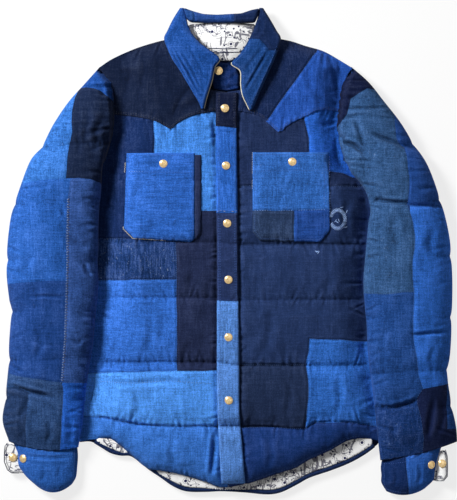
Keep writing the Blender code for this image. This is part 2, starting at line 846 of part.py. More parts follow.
def snap(name, x, y, height, normal):
    """A brass snap cap: a low turned dome on a straight rim, facing along its normal."""
    radius = SNAP_DIAMETER / 2
    axis = Vector(normal).normalized()
    turn = Vector((0, 0, 1)).rotation_difference(axis)
    centre_point = Vector((x, y, height))
    points = []
    for share, z in SNAP_PROFILE:
        for k in range(SNAP_SIDES):
            angle = 2 * math.pi * k / SNAP_SIDES
            local = Vector((share * radius * math.cos(angle), share * radius * math.sin(angle), z))
            points.append(tuple(centre_point + turn @ local))
    faces = [tuple(reversed(range(SNAP_SIDES)))]
    rings = len(SNAP_PROFILE)
    for ring in range(rings - 1):
        for k in range(SNAP_SIDES):
            a = ring * SNAP_SIDES + k
            b = ring * SNAP_SIDES + (k + 1) % SNAP_SIDES
            faces.append((a, b, b + SNAP_SIDES, a + SNAP_SIDES))
    faces.append(tuple(range((rings - 1) * SNAP_SIDES, rings * SNAP_SIDES)))
    return add_object(name, points, faces, "snap_brass")


def snap_on(name, point, surface, thickness):
    """A snap on a piece that lies on the faceted surface, square to it."""
    reach = SNAP_DIAMETER / 2
    slope_x = (surface(point.x + reach, point.y) - surface(point.x - reach, point.y)) / 2 / reach
    slope_y = (surface(point.x, point.y + reach) - surface(point.x, point.y - reach)) / 2 / reach
    base = surface(point.x, point.y)
    lift = 0.0
    for k in range(SNAP_SIDES):
        angle = 2 * math.pi * k / SNAP_SIDES
        dx = reach * math.cos(angle)
        dy = reach * math.sin(angle)
        lift = max(lift, surface(point.x + dx, point.y + dy) - base - slope_x * dx - slope_y * dy)
    height = base + thickness + SEAM_GAP + lift
    snap(name, point.x, point.y, height, (-slope_x, -slope_y, 1))


def cuff_facing(name, free_edge, cuff):
    """The lined facing of a cuff's slit: it meets the cuff's outer fold."""
    fold = column(cuff[::-1], "out_y", "out_x")
    sign = -1 if cuff[0].out_x < 0 else 1
    outline = list(free_edge)
    for i in range(FACING_STEPS + 1):
        y = mix(free_edge[-1].y, free_edge[0].y, i / FACING_STEPS)
        outline.append((fold(y) + sign * FACING_GAP, y))
    top = FACING_BOTTOM + FACING_THICKNESS
    plate(name, outline, FACING_BOTTOM, top, LINING_ROUND, "lining_print")


def snaps(body_top, cuff_tops):
    for i, point in enumerate(SNAPS_PLACKET):
        snap_on(f"snap_placket_{i + 1}", point, body_top.height, PLACKET_THICKNESS + SEAM_GAP)
    for side_name, point in zip(("right", "left"), SNAPS_POCKET):
        snap_on("snap_pocket_" + side_name, point, body_top.height, PATCH_THICKNESS + SEAM_GAP)
    snap("snap_band", SNAP_BAND.x, SNAP_BAND.y, BAND_TOP + SEAM_GAP, (0, 0, 1))
    for side_name, point, top in zip(("right", "left"), SNAPS_CUFF, cuff_tops):
        snap_on("snap_cuff_" + side_name, point, top.height, 0.0)
    facing_top = FACING_BOTTOM + FACING_THICKNESS
    for side_name, point in zip(("right", "left"), SNAPS_FACING):
        snap("snap_facing_" + side_name, point.x, point.y, facing_top + SEAM_GAP, (0, 0, 1))


def settle_origin():
    """Put the origin under the middle of the jacket's box."""
    corners = [v.co for piece in bpy.data.objects for v in piece.data.vertices]
    middle_x = (min(c.x for c in corners) + max(c.x for c in corners)) / 2
    middle_y = (min(c.y for c in corners) + max(c.y for c in corners)) / 2
    for piece in bpy.data.objects:
        for vertex in piece.data.vertices:
            vertex.co.x -= middle_x
            vertex.co.y -= middle_y


def build_jacket():
    clear_scene()
    back_panel()
    body_top = Surface()
    front_and_yoke("right", side_right, neck_right, body_top)
    front_and_yoke("left", side_left, neck_left, body_top)
    placket = [(placket_right(row.y), row.y) for row in PLACKET]
    placket += [(placket_left(row.y), row.y) for row in reversed(PLACKET)]
    laid_piece("placket", body_top, placket, PLACKET_THICKNESS, "denim_light")
    laid_piece("pocket_right", body_top, POCKET_RIGHT, PATCH_THICKNESS, "denim_blue")
    laid_piece("pocket_tab_right", body_top, POCKET_TAB_RIGHT, PATCH_THICKNESS, "denim_navy")
    laid_piece("pocket_left", body_top, POCKET_LEFT, PATCH_THICKNESS, "denim_blue")
    hem_lining("lining_hem_right", LINING_HEM_RIGHT)
    hem_lining("lining_hem_left", LINING_HEM_LEFT)
    lining_bottom = BACK_THICKNESS + SEAM_GAP
    lining_top = lining_bottom + LINING_THICKNESS
    plate("lining_neck", NECK_LINING, lining_bottom, lining_top, LINING_ROUND, "lining_print")
    plate("collar_band", BAND, lining_bottom, BAND_TOP, BAND_ROUND, "denim_navy")
    plate("collar_back", BACK_COLLAR, 0.0, BACK_COLLAR_TOP, BACK_COLLAR_ROUND, "denim_blue")
    collar_leaf("collar_leaf_right", LEAF_RIGHT)
    collar_leaf("collar_leaf_left", LEAF_LEFT)
    tube("sleeve_right", SLEEVE_RIGHT, SLEEVE_RINGS, SLEEVE_MID_OUT, SLEEVE_MID_IN,
         SLEEVE_QUILTING_RIGHT, SLEEVE_KEPT, lambda y: side_right(y) - ARMHOLE_GAP, "denim_blue")
    tube("sleeve_left", SLEEVE_LEFT, SLEEVE_RINGS, SLEEVE_MID_OUT, SLEEVE_MID_IN,
         SLEEVE_QUILTING_LEFT, SLEEVE_KEPT, lambda y: side_left(y) + ARMHOLE_GAP, "denim_slate")
    cuff_tops = [
        tube("cuff_right", CUFF_RIGHT, CUFF_RINGS, CUFF_MID, CUFF_MID, (), 1.0, None,
             "denim_blue"),
        tube("cuff_left", CUFF_LEFT, CUFF_RINGS, CUFF_MID, CUFF_MID, (), 1.0, None,
             "denim_navy"),
    ]
    cuff_facing("cuff_facing_right", FACING_RIGHT, CUFF_RIGHT)
    cuff_facing("cuff_facing_left", FACING_LEFT, CUFF_LEFT)
    snaps(body_top, cuff_tops)
    settle_origin()


build_jacket()
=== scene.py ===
"""Looks of the patched boro jacket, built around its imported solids.

Tables are in millimetres in the jacket's own frame: x to the wearer's left, y to the collar,
z up. Left and right are the wearer's. Cloth pieces are fine meshes cut along the edges of
their patches; every piece rides on the one body, because cloth has no joints.
"""

import functools
import math

import bmesh
import bpy
import numpy as np
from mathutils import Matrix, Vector
from mathutils.geometry import delaunay_2d_cdt
from mathutils.kdtree import KDTree


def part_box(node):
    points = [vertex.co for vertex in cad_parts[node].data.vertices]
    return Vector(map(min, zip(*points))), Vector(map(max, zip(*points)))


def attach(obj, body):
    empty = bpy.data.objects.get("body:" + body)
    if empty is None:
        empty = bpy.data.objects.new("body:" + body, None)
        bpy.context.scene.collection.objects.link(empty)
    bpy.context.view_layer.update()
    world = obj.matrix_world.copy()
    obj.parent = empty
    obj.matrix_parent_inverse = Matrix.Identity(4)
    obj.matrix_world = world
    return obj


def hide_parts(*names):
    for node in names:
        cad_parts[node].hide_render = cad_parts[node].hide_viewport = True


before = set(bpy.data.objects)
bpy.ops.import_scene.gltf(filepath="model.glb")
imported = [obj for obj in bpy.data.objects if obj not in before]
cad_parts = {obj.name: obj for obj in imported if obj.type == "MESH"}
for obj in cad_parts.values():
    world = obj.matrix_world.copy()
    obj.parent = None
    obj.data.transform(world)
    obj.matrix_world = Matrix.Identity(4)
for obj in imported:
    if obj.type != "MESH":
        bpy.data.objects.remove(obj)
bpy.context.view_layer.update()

# ------------------------------------------------------------------ sizes, mm
MM = 0.001
BODY_FLOOR = 8.3            # the fronts lie on the back from here up
LEAST_CLOTH = 0.8           # thickness of the fronts where they are drawn in the most
CROWN = 33.0                # height of the fronts at their fullest
SIDE_ROUND = (72.0, 50.0)   # the right front runs out flat at its side, the left one falls off
SIDE_FLARE = (1.7, 1.05)    # how hollow each of the two runs out
SIDE_SINK = 2.5             # how much lower the side edges lie than the solids'
SHOULDER_ROUND = 46.0
HEM_ROUND = 38.0
ARMHOLE_SINK = 9.0          # how far the armhole seams are drawn in
UNDER_SLEEVE = 2.5          # how far the fronts run on under the sleeves
UNDER_YOKE = 5.0            # how far the fronts run on under the yokes
YOKE_THICKNESS = 1.3
BACK_THICKNESS = 8.0
PLACKET_THICKNESS = 3.2
PATCH_THICKNESS = 2.4       # of the pockets
LEAF_THICKNESS = 3.2
LEAF_LOFT = 7.8             # height of a collar leaf over its bed at its fullest
LEAF_EDGE = 2.6             # and at its edges
LINING_TOP = BODY_FLOOR + 1.4
LINING_STEP = 3.6           # mesh size of the linings
NECK_RISE = 8.0             # how much the neck's lining is domed
FACING_TOP = 10.0           # top of the cuffs' facings
FACING_LIFT = 7.0           # how far the left one stands up at its outer edge
SLEEVE_MID_OUT = 14.0       # height of the sleeves' outer and inner folds
SLEEVE_MID_IN = 15.0
SLEEVE_MID_TOP = 10.0       # and of both at the armhole
SLEEVE_TUCK = 15.0          # how far the sleeve's top goes down to meet its seam there
MOUTH_DEPTH = 0.3           # how far in a tube's end is closed, in sections
SLEEVE_PUFF = 2.0           # how much higher the sleeves' filling stands than the solids
CUFF_MID = 9.0
QUILT_WIDTH = 16.0          # how far a quilting line draws the filling in
STITCH_DIP = 1.5            # depth of the ditch at its stitches, and half its width
STITCH_WIDTH = 1.9
PINCH_WIDTH = 8.0           # a crease from here up is a pinch between two full lobes
SEAM_WIDTH = 1.8            # of the ditch between two patches
PATCH_SEED = 31             # where the wavering of the patches' outlines starts
SLEEVE_PATCH_SEED = 61
WEAR_AND_SHADE_REACH = 9              # rounds of averaging that give a point's surroundings
WEAR_AND_SHADE_FULL = 0.9             # height over its surroundings at which cloth counts as worn; below them it gets painted shade
SNAP_DIAMETER = 13.0
SNAP_BAND = (-18, 287)      # the band's snap, which ties these tables to the frame
NECK_Y = 253.0              # lower and upper end of the yokes' neckline
NECK_TOP_Y = 342.0

# ------------------------------------------------------------------ outlines, mm
# armholes: y, right, left
ARMHOLES = ((146, -201, 184), (170, -195, 178), (198, -189, 174), (225, -188, 176),
            (255, -190, 179), (272, -194, 182), (285, -201, 188), (293, -209, 195))
# the fronts' side edge: y, height, how far a sleeve covers it
EDGES = ((-312, 12, 2.3), (20, 12, 2.3), (60, 12, 1.0), (100, 12, -0.3), (146, 15, -1.3),
         (170, 20, 0), (225, 21, 0), (255, 20, 0), (293, 14, 0))
# hems: x, front, back
HEMS = ((-243, -305, -306), (-222, -302, -305), (-205, -300, -314), (-190, -301, -323),
        (-175, -312, -327), (-158, -326, -328), (-140, -342, -340), (-128, -349, -350),
        (-110, -352, -362), (-90, -355, -376), (-70, -360, -384), (-40, -369, -385),
        (-14, -378, -384), (25, -373, -386), (60, -362, -389), (80, -355, -386),
        (105, -347, -374), (125, -335, -363), (160, -319, -351), (190, -303, -339),
        (215, -300, -325), (240, -304, -306))
LOW_QUILTING = ((-235, -262), (-190, -268), (-145, -277), (-100, -279), (60, -280),
                (118, -284), (135, -274), (190, -273), (235, -280))
# quilting lines: y on the right front, y on the left front, loft kept there
QUILTING = ((-177, -182, 0.58), (-74, -77, 0.72), (15, 11, 0.72), (113, 103, 0.90))
LOW_KEPT = 0.48            # loft kept at the low quilting line
YOKE_LINE = ((-195, 219), (-150, 214), (-120, 207), (-104, 199), (-94, 194), (-84, 203),
             (-60, 215), (-22, 222), (12, 222), (45, 215), (66, 199), (79, 189), (92, 200),
             (118, 213), (145, 224), (185, 221))
SHOULDER_LINE = ((-212, 291), (-190, 306), (-155, 322), (-125, 332), (-95, 339), (-60, 342),
                 (55, 342), (95, 336), (120, 328), (150, 319), (175, 305), (198, 291))
# neckline: rise, right, left
NECK = ((0.0, -5.3, -5.3), (0.04, -31, 18.5), (0.25, -38, 27), (0.50, -48, 36),
        (0.75, -62, 48), (1.0, -74, 60))
BACK_NECK = ((-74, 352), (-66, 361), (-40, 364), (10, 364), (38, 363), (48, 352))
# placket: y, right, left
PLACKET = ((-371, -13.5, 24.5), (-340, -16, 22), (-300, -18, 19), (-260, -20, 15.5),
           (-200, -21, 15), (0, -21, 13), (195, -23, 11), (252, -22, 12))
POCKET_RIGHT = ((-165, 156), (-167, 90), (-169, 36), (-153, 20), (-110, 17.5), (-62, 14),
                (-56.4, 20), (-56.4, 156))
POCKET_TAB_RIGHT = ((-56, 153), (-56, 22), (-54, 18), (-46, 27), (-46, 153))
POCKET_LEFT = ((36, 157), (36, 31), (48, 16), (144, 14.5), (159, 33), (157, 157))
# sleeves and cuffs: outer fold x, y, inner fold x, y, bow of the section, height
SLEEVE_RIGHT = ((-207, 294.3, -202, 146, 15, 29), (-232, 266, -204, 132, 12, 41),
                (-257, 238, -205, 112, 8, 42), (-280, 204, -206, 92, 5, 46),
                (-299, 169, -208, 76, 2, 48), (-318, 144, -209, 60, 0, 48),
                (-335, 100, -210, 35, 0, 48), (-348, 60, -210, 10, 0, 48),
                (-355, 5, -211, -20, 0, 48), (-356, -35, -210, -48, 0, 48),
                (-352, -75, -212, -78, 0, 47), (-349, -98, -215, -105, 0, 46),
                (-352, -150, -219, -150, 0, 46), (-354, -195, -227, -198, 0, 44),
                (-359, -240, -232, -240, 0, 40), (-362, -272, -236, -278, -4, 38),
                (-352, -304, -242, -313, -9, 25))
SLEEVE_LEFT = ((193, 294.3, 185, 146, 12, 25), (221, 269, 193, 126, 10, 36),
               (245, 239, 206, 111, 7, 42), (270, 207, 217, 94, 4, 46),
               (293, 171, 222, 78, 2, 48), (313, 140, 224, 62, 0, 48),
               (328, 103, 221, 45, 0, 48), (341, 62, 219, 25, 0, 48),
               (351, 12, 216, -8, 0, 48), (354, -40, 213, -45, 0, 48),
               (354, -80, 214, -75, 0, 47), (353, -120, 218, -118, 0, 46),
               (351, -160, 220, -160, 0, 46), (347, -202, 224, -195, 0, 44),
               (352, -238, 230, -240, 0, 40), (360, -280, 235, -290, -3, 36.4),
               (362, -304, 240, -334, -4, 25))
CUFF_RIGHT = ((-347, -305.4, -244, -312.6, -8.5, 24.5), (-339, -324, -243, -328, -7, 26.5),
              (-338, -342, -244, -344, -8, 26), (-327, -359, -246, -361, -12, 23),
              (-312, -373, -252, -372, -13, 15))
CUFF_LEFT = ((339, -310.4, 243, -332.2, -3.7, 24.5), (332, -331, 241, -346, -5, 26.5),
             (328, -350, 242, -358, -6, 26), (325, -366, 242, -370, -8, 23),
             (312, -379, 250, -384, -8, 15))
# sleeves' quilting lines: y, and how far each shows between the two folds
SLEEVE_QUILTING_RIGHT = ((170, 0.30), (78, 0.12), (-15, 0.0), (-93, 0.0), (-172, 0.10),
                         (-235, 0.0))
SLEEVE_QUILTING_LEFT = ((172, 0.15), (79, 0.10), (-5, 0.0), (-104, 0.0), (-192, 0.15),
                        (-247, 0.1))
SLEEVE_KEPT = 0.62         # loft kept where one shows
# collar leaves: outer edge x, y, neck and front edge x, y, height of the bed
LEAF_RIGHT = ((-80, 388, -73.6, 388, 12), (-91, 370, -69.4, 372, 15), (-100, 351, -64, 353, 20),
              (-105, 338, -50, 334, 27), (-99, 320, -34, 321, 32), (-91, 303, -16, 306, 33.4),
              (-80, 287, -23.5, 292, 33.4), (-68, 267, -28, 272, 33.4),
              (-58, 250, -33, 256, 33.4), (-50, 236, -38, 240, 33.4),
              (-46, 226, -41, 227, 33.4))
LEAF_LEFT = ((53, 388, 46.6, 388, 12), (64, 370, 43.4, 370, 15), (74, 352, 36, 350, 20),
             (81, 338, 28, 333, 27), (76, 318, 16, 314, 32), (69, 300, 2, 298, 33.4),
             (60, 280, 16, 286, 33.4), (52, 262, 17, 264, 33.4), (45, 246, 20, 247, 33.4),
             (40, 234, 26, 234, 33.4), (36, 225, 31, 224, 33.4))
BACK_COLLAR = ((-70.2, 372), (-63, 366), (-40, 364.8), (0, 364.8), (30, 364.8), (40, 365.6),
               (44.8, 376), (46.9, 387), (34, 384.5), (18, 379), (-20, 377), (-42, 378),
               (-57, 382), (-74, 388), (-72.2, 380))
BAND = ((-26.5, 258.5), (-6, 255.5), (14, 258.5), (15, 276), (12, 291), (-2, 299),
        (-17, 301), (-26, 290), (-28, 274))
NECK_LINING = ((-67, 362), (-36, 364.4), (12, 364.4), (41, 362), (34, 330), (22, 310),
               (-1, 303), (-20, 305), (-40, 318), (-58, 338))
FACING_RIGHT = ((-356, -306.5), (-360, -312), (-361, -324), (-361, -337), (-356, -350),
                (-349, -355), (-337, -355))
FACING_LEFT = ((344, -317), (347, -328), (347.5, -345), (347, -360), (341, -367),
               (329, -367.5))


# ------------------------------------------------------------------ place in the frame
def frame_shift():
    """How far the frame's x and y run ahead of the tables' own, read off the band's snap."""
    low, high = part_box("snap_band")
    return tuple((low[k] + high[k]) / 2 / MM - SNAP_BAND[k] for k in (0, 1))


shift = frame_shift()


# ------------------------------------------------------------------ smooth curves and noise
def smooth(knots, values):
    """A smooth function through the values at the knots, level beyond both ends."""
    knots = np.asarray(knots, float)
    values = np.asarray(values, float)
    if knots[0] > knots[-1]:
        knots = knots[::-1]
        values = values[::-1]
    last = len(knots) - 1
    i = np.arange(last + 1)
    before = np.maximum(i - 1, 0)
    after = np.minimum(i + 1, last)
    slopes = (values[after] - values[before]) / (knots[after] - knots[before])

    def at(t):
        t = np.clip(np.asarray(t, float), knots[0], knots[last])
        i = np.clip(np.searchsorted(knots, t) - 1, 0, last - 1)
        span = knots[i + 1] - knots[i]
        f = (t - knots[i]) / span
        rise = f * f * (3 - 2 * f)
        start = f * (1 - f) * (1 - f) * slopes[i] * span
        end = f * f * (f - 1) * slopes[i + 1] * span
        return values[i] * (1 - rise) + values[i + 1] * rise + start + end

    return at


def columns(table):
    """For each column of a table after the first, a smooth function of the first."""
    first, *rest = zip(*table)
    made = [smooth(first, values) for values in rest]
    return made[0] if len(made) == 1 else made


def sections(table):
    """For each column of a table, a smooth function of the row's number."""
    return [smooth(range(len(table)), values) for values in zip(*table)]


def mix(a, b, f):
    """The value a fraction f of the way from a to b."""
    return a + (b - a) * f


def ramp(f):
    """0 below 0, 1 above 1, and a smooth step between."""
    f = np.clip(f, 0.0, 1.0)
    return f * f * (3 - 2 * f)


def dome(f):
    """Quarter of a circle: 0 at the edge, 1 from the full width on."""
    f = np.clip(f, 0.0, 1.0)
    return np.sqrt(1 - (1 - f) ** 2)


def noise(x, y, size, seed):
    """Soft bumps of about the given size, from -1 to 1."""
    x = np.asarray(x, float) / size + 17.3 * seed
    y = np.asarray(y, float) / size - 9.7 * seed
    column = np.floor(x)
    row = np.floor(y)

    def corner(dx, dy):
        value = np.sin((column + dx) * 127.1 + (row + dy) * 311.7 + seed * 74.7) * 43758.5453
        return (value - np.floor(value)) * 2 - 1

    fx = ramp(x - column)
    low = mix(corner(0, 0), corner(1, 0), fx)
    high = mix(corner(0, 1), corner(1, 1), fx)
    return mix(low, high, ramp(y - row))


def folds(x, y, size, seed):
    """Noise with sharp valleys and round tops, from -1 to 1."""
    return 1 - 2 * np.abs(noise(x, y, size, seed)) ** 0.7


def puckers(along, away, first, last, seed, spacing=17, depth=1.3, reach=26):
    """Creases that run out from a seam: troughs between two ridges, no two alike.

    along and away are the distances along the seam and out from it."""
    rng = np.random.default_rng(seed)
    relief = np.zeros(np.shape(along))
    at = first + rng.uniform(0, spacing)
    while at < last:
        length = reach * rng.uniform(0.35, 1.25)
        lean = rng.uniform(-0.5, 0.5)
        width = rng.uniform(1.8, 3.3)
        deep = depth * rng.uniform(0.45, 1.55) ** 1.5
        near = (away > -2) & (away < length) & (np.abs(along - at) < 0.5 * length + 5 * width)
        f = np.clip(away[near] / length, 0, 1)
        across = np.abs(along[near] - at - lean * away[near])
        wide = width * (0.7 + 0.9 * f)
        shape = 0.5 * np.exp(-((across - 2.1 * wide) / wide) ** 2) - np.exp(-(across / wide) ** 2)
        relief[near] += deep * (1 - f) ** 1.3 * ramp((away[near] + 2) / 3) * shape
        at += spacing * rng.uniform(0.5, 1.5)
    return relief


# ------------------------------------------------------------------ the body's form
armhole_right, armhole_left = columns(ARMHOLES)
side_edge, side_tuck = columns(EDGES)
hem_front, hem_back = columns(HEMS)
placket_right, placket_left = columns(PLACKET)
neck_right, neck_left = columns(NECK)
low_quilting = columns(LOW_QUILTING)
yoke_line = columns(YOKE_LINE)
shoulder_line = columns(SHOULDER_LINE)
back_neck = columns(BACK_NECK)
fold_right = smooth([row[3] for row in SLEEVE_RIGHT], [row[2] for row in SLEEVE_RIGHT])
fold_left = smooth([row[3] for row in SLEEVE_LEFT], [row[2] for row in SLEEVE_LEFT])
ARMPIT_Y = ARMHOLES[0][0]


def side_right(y):
    """The armhole, and below it the side seam, which follows the sleeve's inner fold."""
    return np.where(y > ARMPIT_Y, armhole_right(y), fold_right(y) - side_tuck(y))


def side_left(y):
    """The same on the left."""
    return np.where(y > ARMPIT_Y, armhole_left(y), fold_left(y) + side_tuck(y))


def outwards(side):
    """The sign of x on a side's way out from the middle."""
    return -1 if side is side_right else 1


def centre(y):
    """The middle of the placket."""
    return (placket_right(y) + placket_left(y)) / 2


def straight_quilting(right, left):
    """A level line on each front, joined under the placket."""
    return lambda x: mix(right, left, np.clip((x + 20) / 30, 0, 1))


QUILTING_LINES = [(low_quilting, LOW_KEPT)]
QUILTING_LINES += [(straight_quilting(right, left), kept) for right, left, kept in QUILTING]


def to_polyline(x, y, line):
    """Distance to a line, and how far along it the nearest point is, from 0 to 1."""
    line = np.asarray(line, float)
    lengths = np.hypot(*(line[1:] - line[:-1]).T)
    total = lengths.sum()
    best = np.full(np.shape(x), 1e9)
    along = np.zeros(np.shape(x))
    done = 0.0
    for a, b, length in zip(line, line[1:], lengths):
        f = np.clip(((x - a[0]) * (b[0] - a[0]) + (y - a[1]) * (b[1] - a[1])) / length ** 2, 0, 1)
        d = np.hypot(x - mix(a[0], b[0], f), y - mix(a[1], b[1], f))
        nearer = d < best
        best = np.where(nearer, d, best)
        along = np.where(nearer, (done + f * length) / total, along)
        done += length
    return best, along


def creases(x, y, table):
    """Relief of a table of creases: depth of the trough, its width, and its line.

    A wide one is a pinch, with full cloth rolling down to it from both sides."""
    relief = np.zeros(np.shape(x))
    for depth, width, line in table:
        d, along = to_polyline(x, y, line)
        inwards = np.minimum(along, 1 - along)
        if width < PINCH_WIDTH:
            trough = -np.exp(-(d / width) ** 2) + 0.45 * np.exp(-((d - 2.1 * width) / width) ** 2)
            relief += depth * ramp(inwards / 0.3 + 0.15) * trough
        else:
            relief -= depth * ramp(inwards / 0.4) * np.exp(-d / width)
    return relief


def quilted_in(x, y, number):
    """How strongly a quilting line draws the body in: most at the sides, and unevenly."""
    to_side = np.minimum(x - side_right(y), side_left(y) - x)
    return 0.75 + 0.45 * ramp(1 - to_side / 80) + 0.3 * noise(x, 0 * x, 55, 90 + number)


def front_height(x, y):
    """Smooth height of the fronts and yokes: as the solids', drawn in softly at the seams."""
    full = 1.0
    for away, wide, flare in zip((x - side_right(y), side_left(y) - x), SIDE_ROUND, SIDE_FLARE):
        full = full * np.sin(np.pi / 2 * np.clip((away - 2) / wide, 0, 1)) ** flare
    full = full * dome((shoulder_line(x) - y) / SHOULDER_ROUND)
    full = full * dome((y - hem_front(x)) / HEM_ROUND)
    for number, (line, kept) in enumerate(QUILTING_LINES):
        depth = (1 - kept) * quilted_in(x, y, number)
        full = full * (1 - depth * np.exp(-np.abs(y - line(x)) / QUILT_WIDTH))
    edge = side_edge(y) - SIDE_SINK - ARMHOLE_SINK * ramp((y - 110) / 50)
    return mix(edge, CROWN, full)


# creases of the body: depth, width, line
BODY_CREASES = (
    (4.2, 3.6, ((-26, -288), (-25, -310), (-30, -362))),
    (2.4, 8.0, ((-26, -288), (-25, -310), (-30, -362))),
    (1.6, 4.0, ((-200, -208), (-150, -210), (-100, -206), (-60, -211))),
    (9.5, 9.0, ((-182, 306), (-184, 262), (-182, 216))),
    (4.0, 8.0, ((-168, 320), (-161, 282), (-172, 236))),
    (3.6, 8.5, ((-140, 330), (-137, 286), (-152, 232))),
    (1.8, 9.0, ((-118, 318), (-114, 276), (-106, 224))),
    (3.4, 8.0, ((-50, 276), (-78, 244), (-98, 198))),
    (1.4, 6.0, ((-42, 244), (-62, 232), (-84, 222))),
    (1.2, 5.0, ((-108, 215), (-104, 190), (-99, 172))),
    (2.0, 3.6, ((-28, 216), (-25, 190), (-23, 165))),
    (1.4, 3.4, ((155, 318), (165, 290), (172, 262), (178, 240))),
    (1.3, 5.0, ((120, 300), (128, 262), (150, 235))),
    (1.0, 4.0, ((176, 190), (171, 160), (176, 130))),
    (1.6, 5.0, ((188, 86), (182, 55), (190, 25))),
    (1.3, 5.5, ((60, -90), (66, -120), (58, -160))),
    (1.2, 6.0, ((150, -20), (158, -45), (150, -70))),
    (1.3, 5.0, ((-130, -95), (-126, -130), (-134, -165))),
    (1.3, 5.0, ((-60, -30), (-64, -52), (-58, -68))),
    (1.4, 4.5, ((90, -200), (96, -230), (88, -262))),
    (1.3, 4.5, ((170, -195), (176, -230), (170, -262))),
    (1.2, 5.0, ((-150, -222), (-146, -250), (-152, -268))),
    (1.4, 4.5, ((60, -290), (66, -325), (60, -350))),
    (1.4, 4.5, ((-90, -292), (-94, -320), (-88, -345))),
    (1.4, 5.0, ((-190, 130), (-182, 80), (-186, 30))),
)


def body_relief(x, y):
    """Puckers along the quilting and the seams, listed creases and soft rumples."""
    from_right = x - side_right(y)
    from_left = side_left(y) - x
    to_side = np.minimum(from_right, from_left)
    shoulder = shoulder_line(x) - y
    room = ramp(to_side / 8) * ramp(shoulder / 8)
    relief = 1.7 * noise(x, y, 46, 1) + 1.1 * noise(x * 1.4, y, 23, 2)
    relief += 0.4 * folds(x, y * 0.6, 14, 3)
    for number, (line, kept) in enumerate(QUILTING_LINES):
        d = y - line(x)
        strong = (1 - kept) * 2.4
        stitched = np.exp(-(d / STITCH_WIDTH) ** 2)
        relief -= STITCH_DIP * strong * quilted_in(x, y, number) * stitched
        relief += puckers(x, d, -220, 225, 30 + number, depth=0.3 + 0.95 * strong, reach=30)
        relief += puckers(x, -d, -220, 225, 40 + number, depth=0.3 + 0.8 * strong, reach=24)
    below_yoke = yoke_line(x) - y
    beside_placket = (placket_right(y) - x, x - placket_left(y))
    above_hem = y - hem_front(x)
    # along the seam, away from it, first and last place, seed, spacing, depth, reach
    for row in (
        (y, from_right, -300, 290, 50, 21, 2.0, 36),
        (y, from_left, -300, 290, 51, 21, 2.0, 36),
        (x, shoulder, -190, 185, 52, 23, 1.8, 40),
        (x, below_yoke, -185, 180, 53, 15, 1.1, 24),
        (x, -below_yoke, -185, 180, 54, 19, 0.9, 26),
        (y, beside_placket[0], -360, 210, 55, 15, 1.1, 20),
        (y, beside_placket[1], -360, 210, 56, 15, 1.1, 20),
        (x, above_hem, -200, 205, 57, 13, 1.3, 20),
    ):
        relief += puckers(*row)
    for beside in beside_placket:
        pressed = np.exp(-(np.maximum(beside, 0) / 4.5) ** 2)
        relief -= 2.6 * pressed * (1 + 0.3 * noise(y, 0, 25, 58))
    relief += creases(x, y, BODY_CREASES)
    return relief * room


def body_top(x, y):
    """Height of the fronts."""
    return np.maximum(front_height(x, y) + body_relief(x, y), BODY_FLOOR + LEAST_CLOTH)


# ------------------------------------------------------------------ cutting cloth into meshes
def resample(line, step, closed=False):
    """A line's points at an even spacing, its corners kept."""
    line = [np.asarray(p, float) for p in line]
    ends = line[1:] + line[:1] if closed else line[1:]
    points = []
    for a, b in zip(line, ends):
        count = max(1, int(round(np.hypot(*(b - a)) / step)))
        points += [mix(a, b, i / count) for i in range(count)]
    if not closed:
        points.append(line[-1])
    return np.array(points)


def hand_cut(outline, seed):
    """A patch's outline as cut and turned by hand: straight runs that waver a little."""
    points = resample(outline, 6.0, closed=True)
    x, y = points.T
    return np.stack((x + 0.9 * noise(x, y, 21, seed), y + 0.9 * noise(x, y, 21, seed + 1)), 1)


def inside(points, outline):
    """Which points lie within a closed outline."""
    x, y = points.T
    within = np.zeros(len(points), bool)
    for a, b in zip(outline, np.roll(outline, 1, 0)):
        if a[1] == b[1]:
            continue
        crosses = (a[1] > y) != (b[1] > y)
        within ^= crosses & (x < (b[0] - a[0]) * (y - a[1]) / (b[1] - a[1]) + a[0])
    return within


def runs(line, kept):
    """The stretches of a line whose points are kept."""
    found = [[]]
    for point, keep in zip(line, kept):
        if keep:
            found[-1].append(point)
        else:
            found.append([])
    return [np.array(part) for part in found if len(part) > 1]


def seams_of(patches, area=None):
    """The patches' edges that show: those that no later patch covers."""
    lines = []
    for i, (_, outline) in enumerate(patches):
        loop = np.concatenate((outline, outline[:1]))
        shown = np.ones(len(loop), bool) if area is None else inside(loop, area)
        for _, later in patches[i + 1:]:
            shown &= ~inside(loop, later)
        lines += runs(loop, shown)
    return lines


def tree_of(points):
    """A search tree of flat points."""
    tree = KDTree(len(points))
    for i, (x, y) in enumerate(points):
        tree.insert((x, y, 0), i)
    tree.balance()
    return tree


def nearest(points, others):
    """Each point's distance to the nearest of the others."""
    tree = tree_of(others)
    return np.array([tree.find((x, y, 0))[2] for x, y in points])


def facing_up(flat, triangles):
    """The triangles, all turned to face up."""
    a, b, c = (flat[triangles[:, k]] for k in range(3))
    turned = (b - a)[:, 0] * (c - a)[:, 1] - (b - a)[:, 1] * (c - a)[:, 0] < 0
    triangles[turned] = triangles[turned][:, ::-1]
    return triangles


def sides_of(triangles):
    """The three sides of every triangle, as pairs of point numbers."""
    return np.concatenate([triangles[:, [0, 1]], triangles[:, [1, 2]], triangles[:, [2, 0]]])


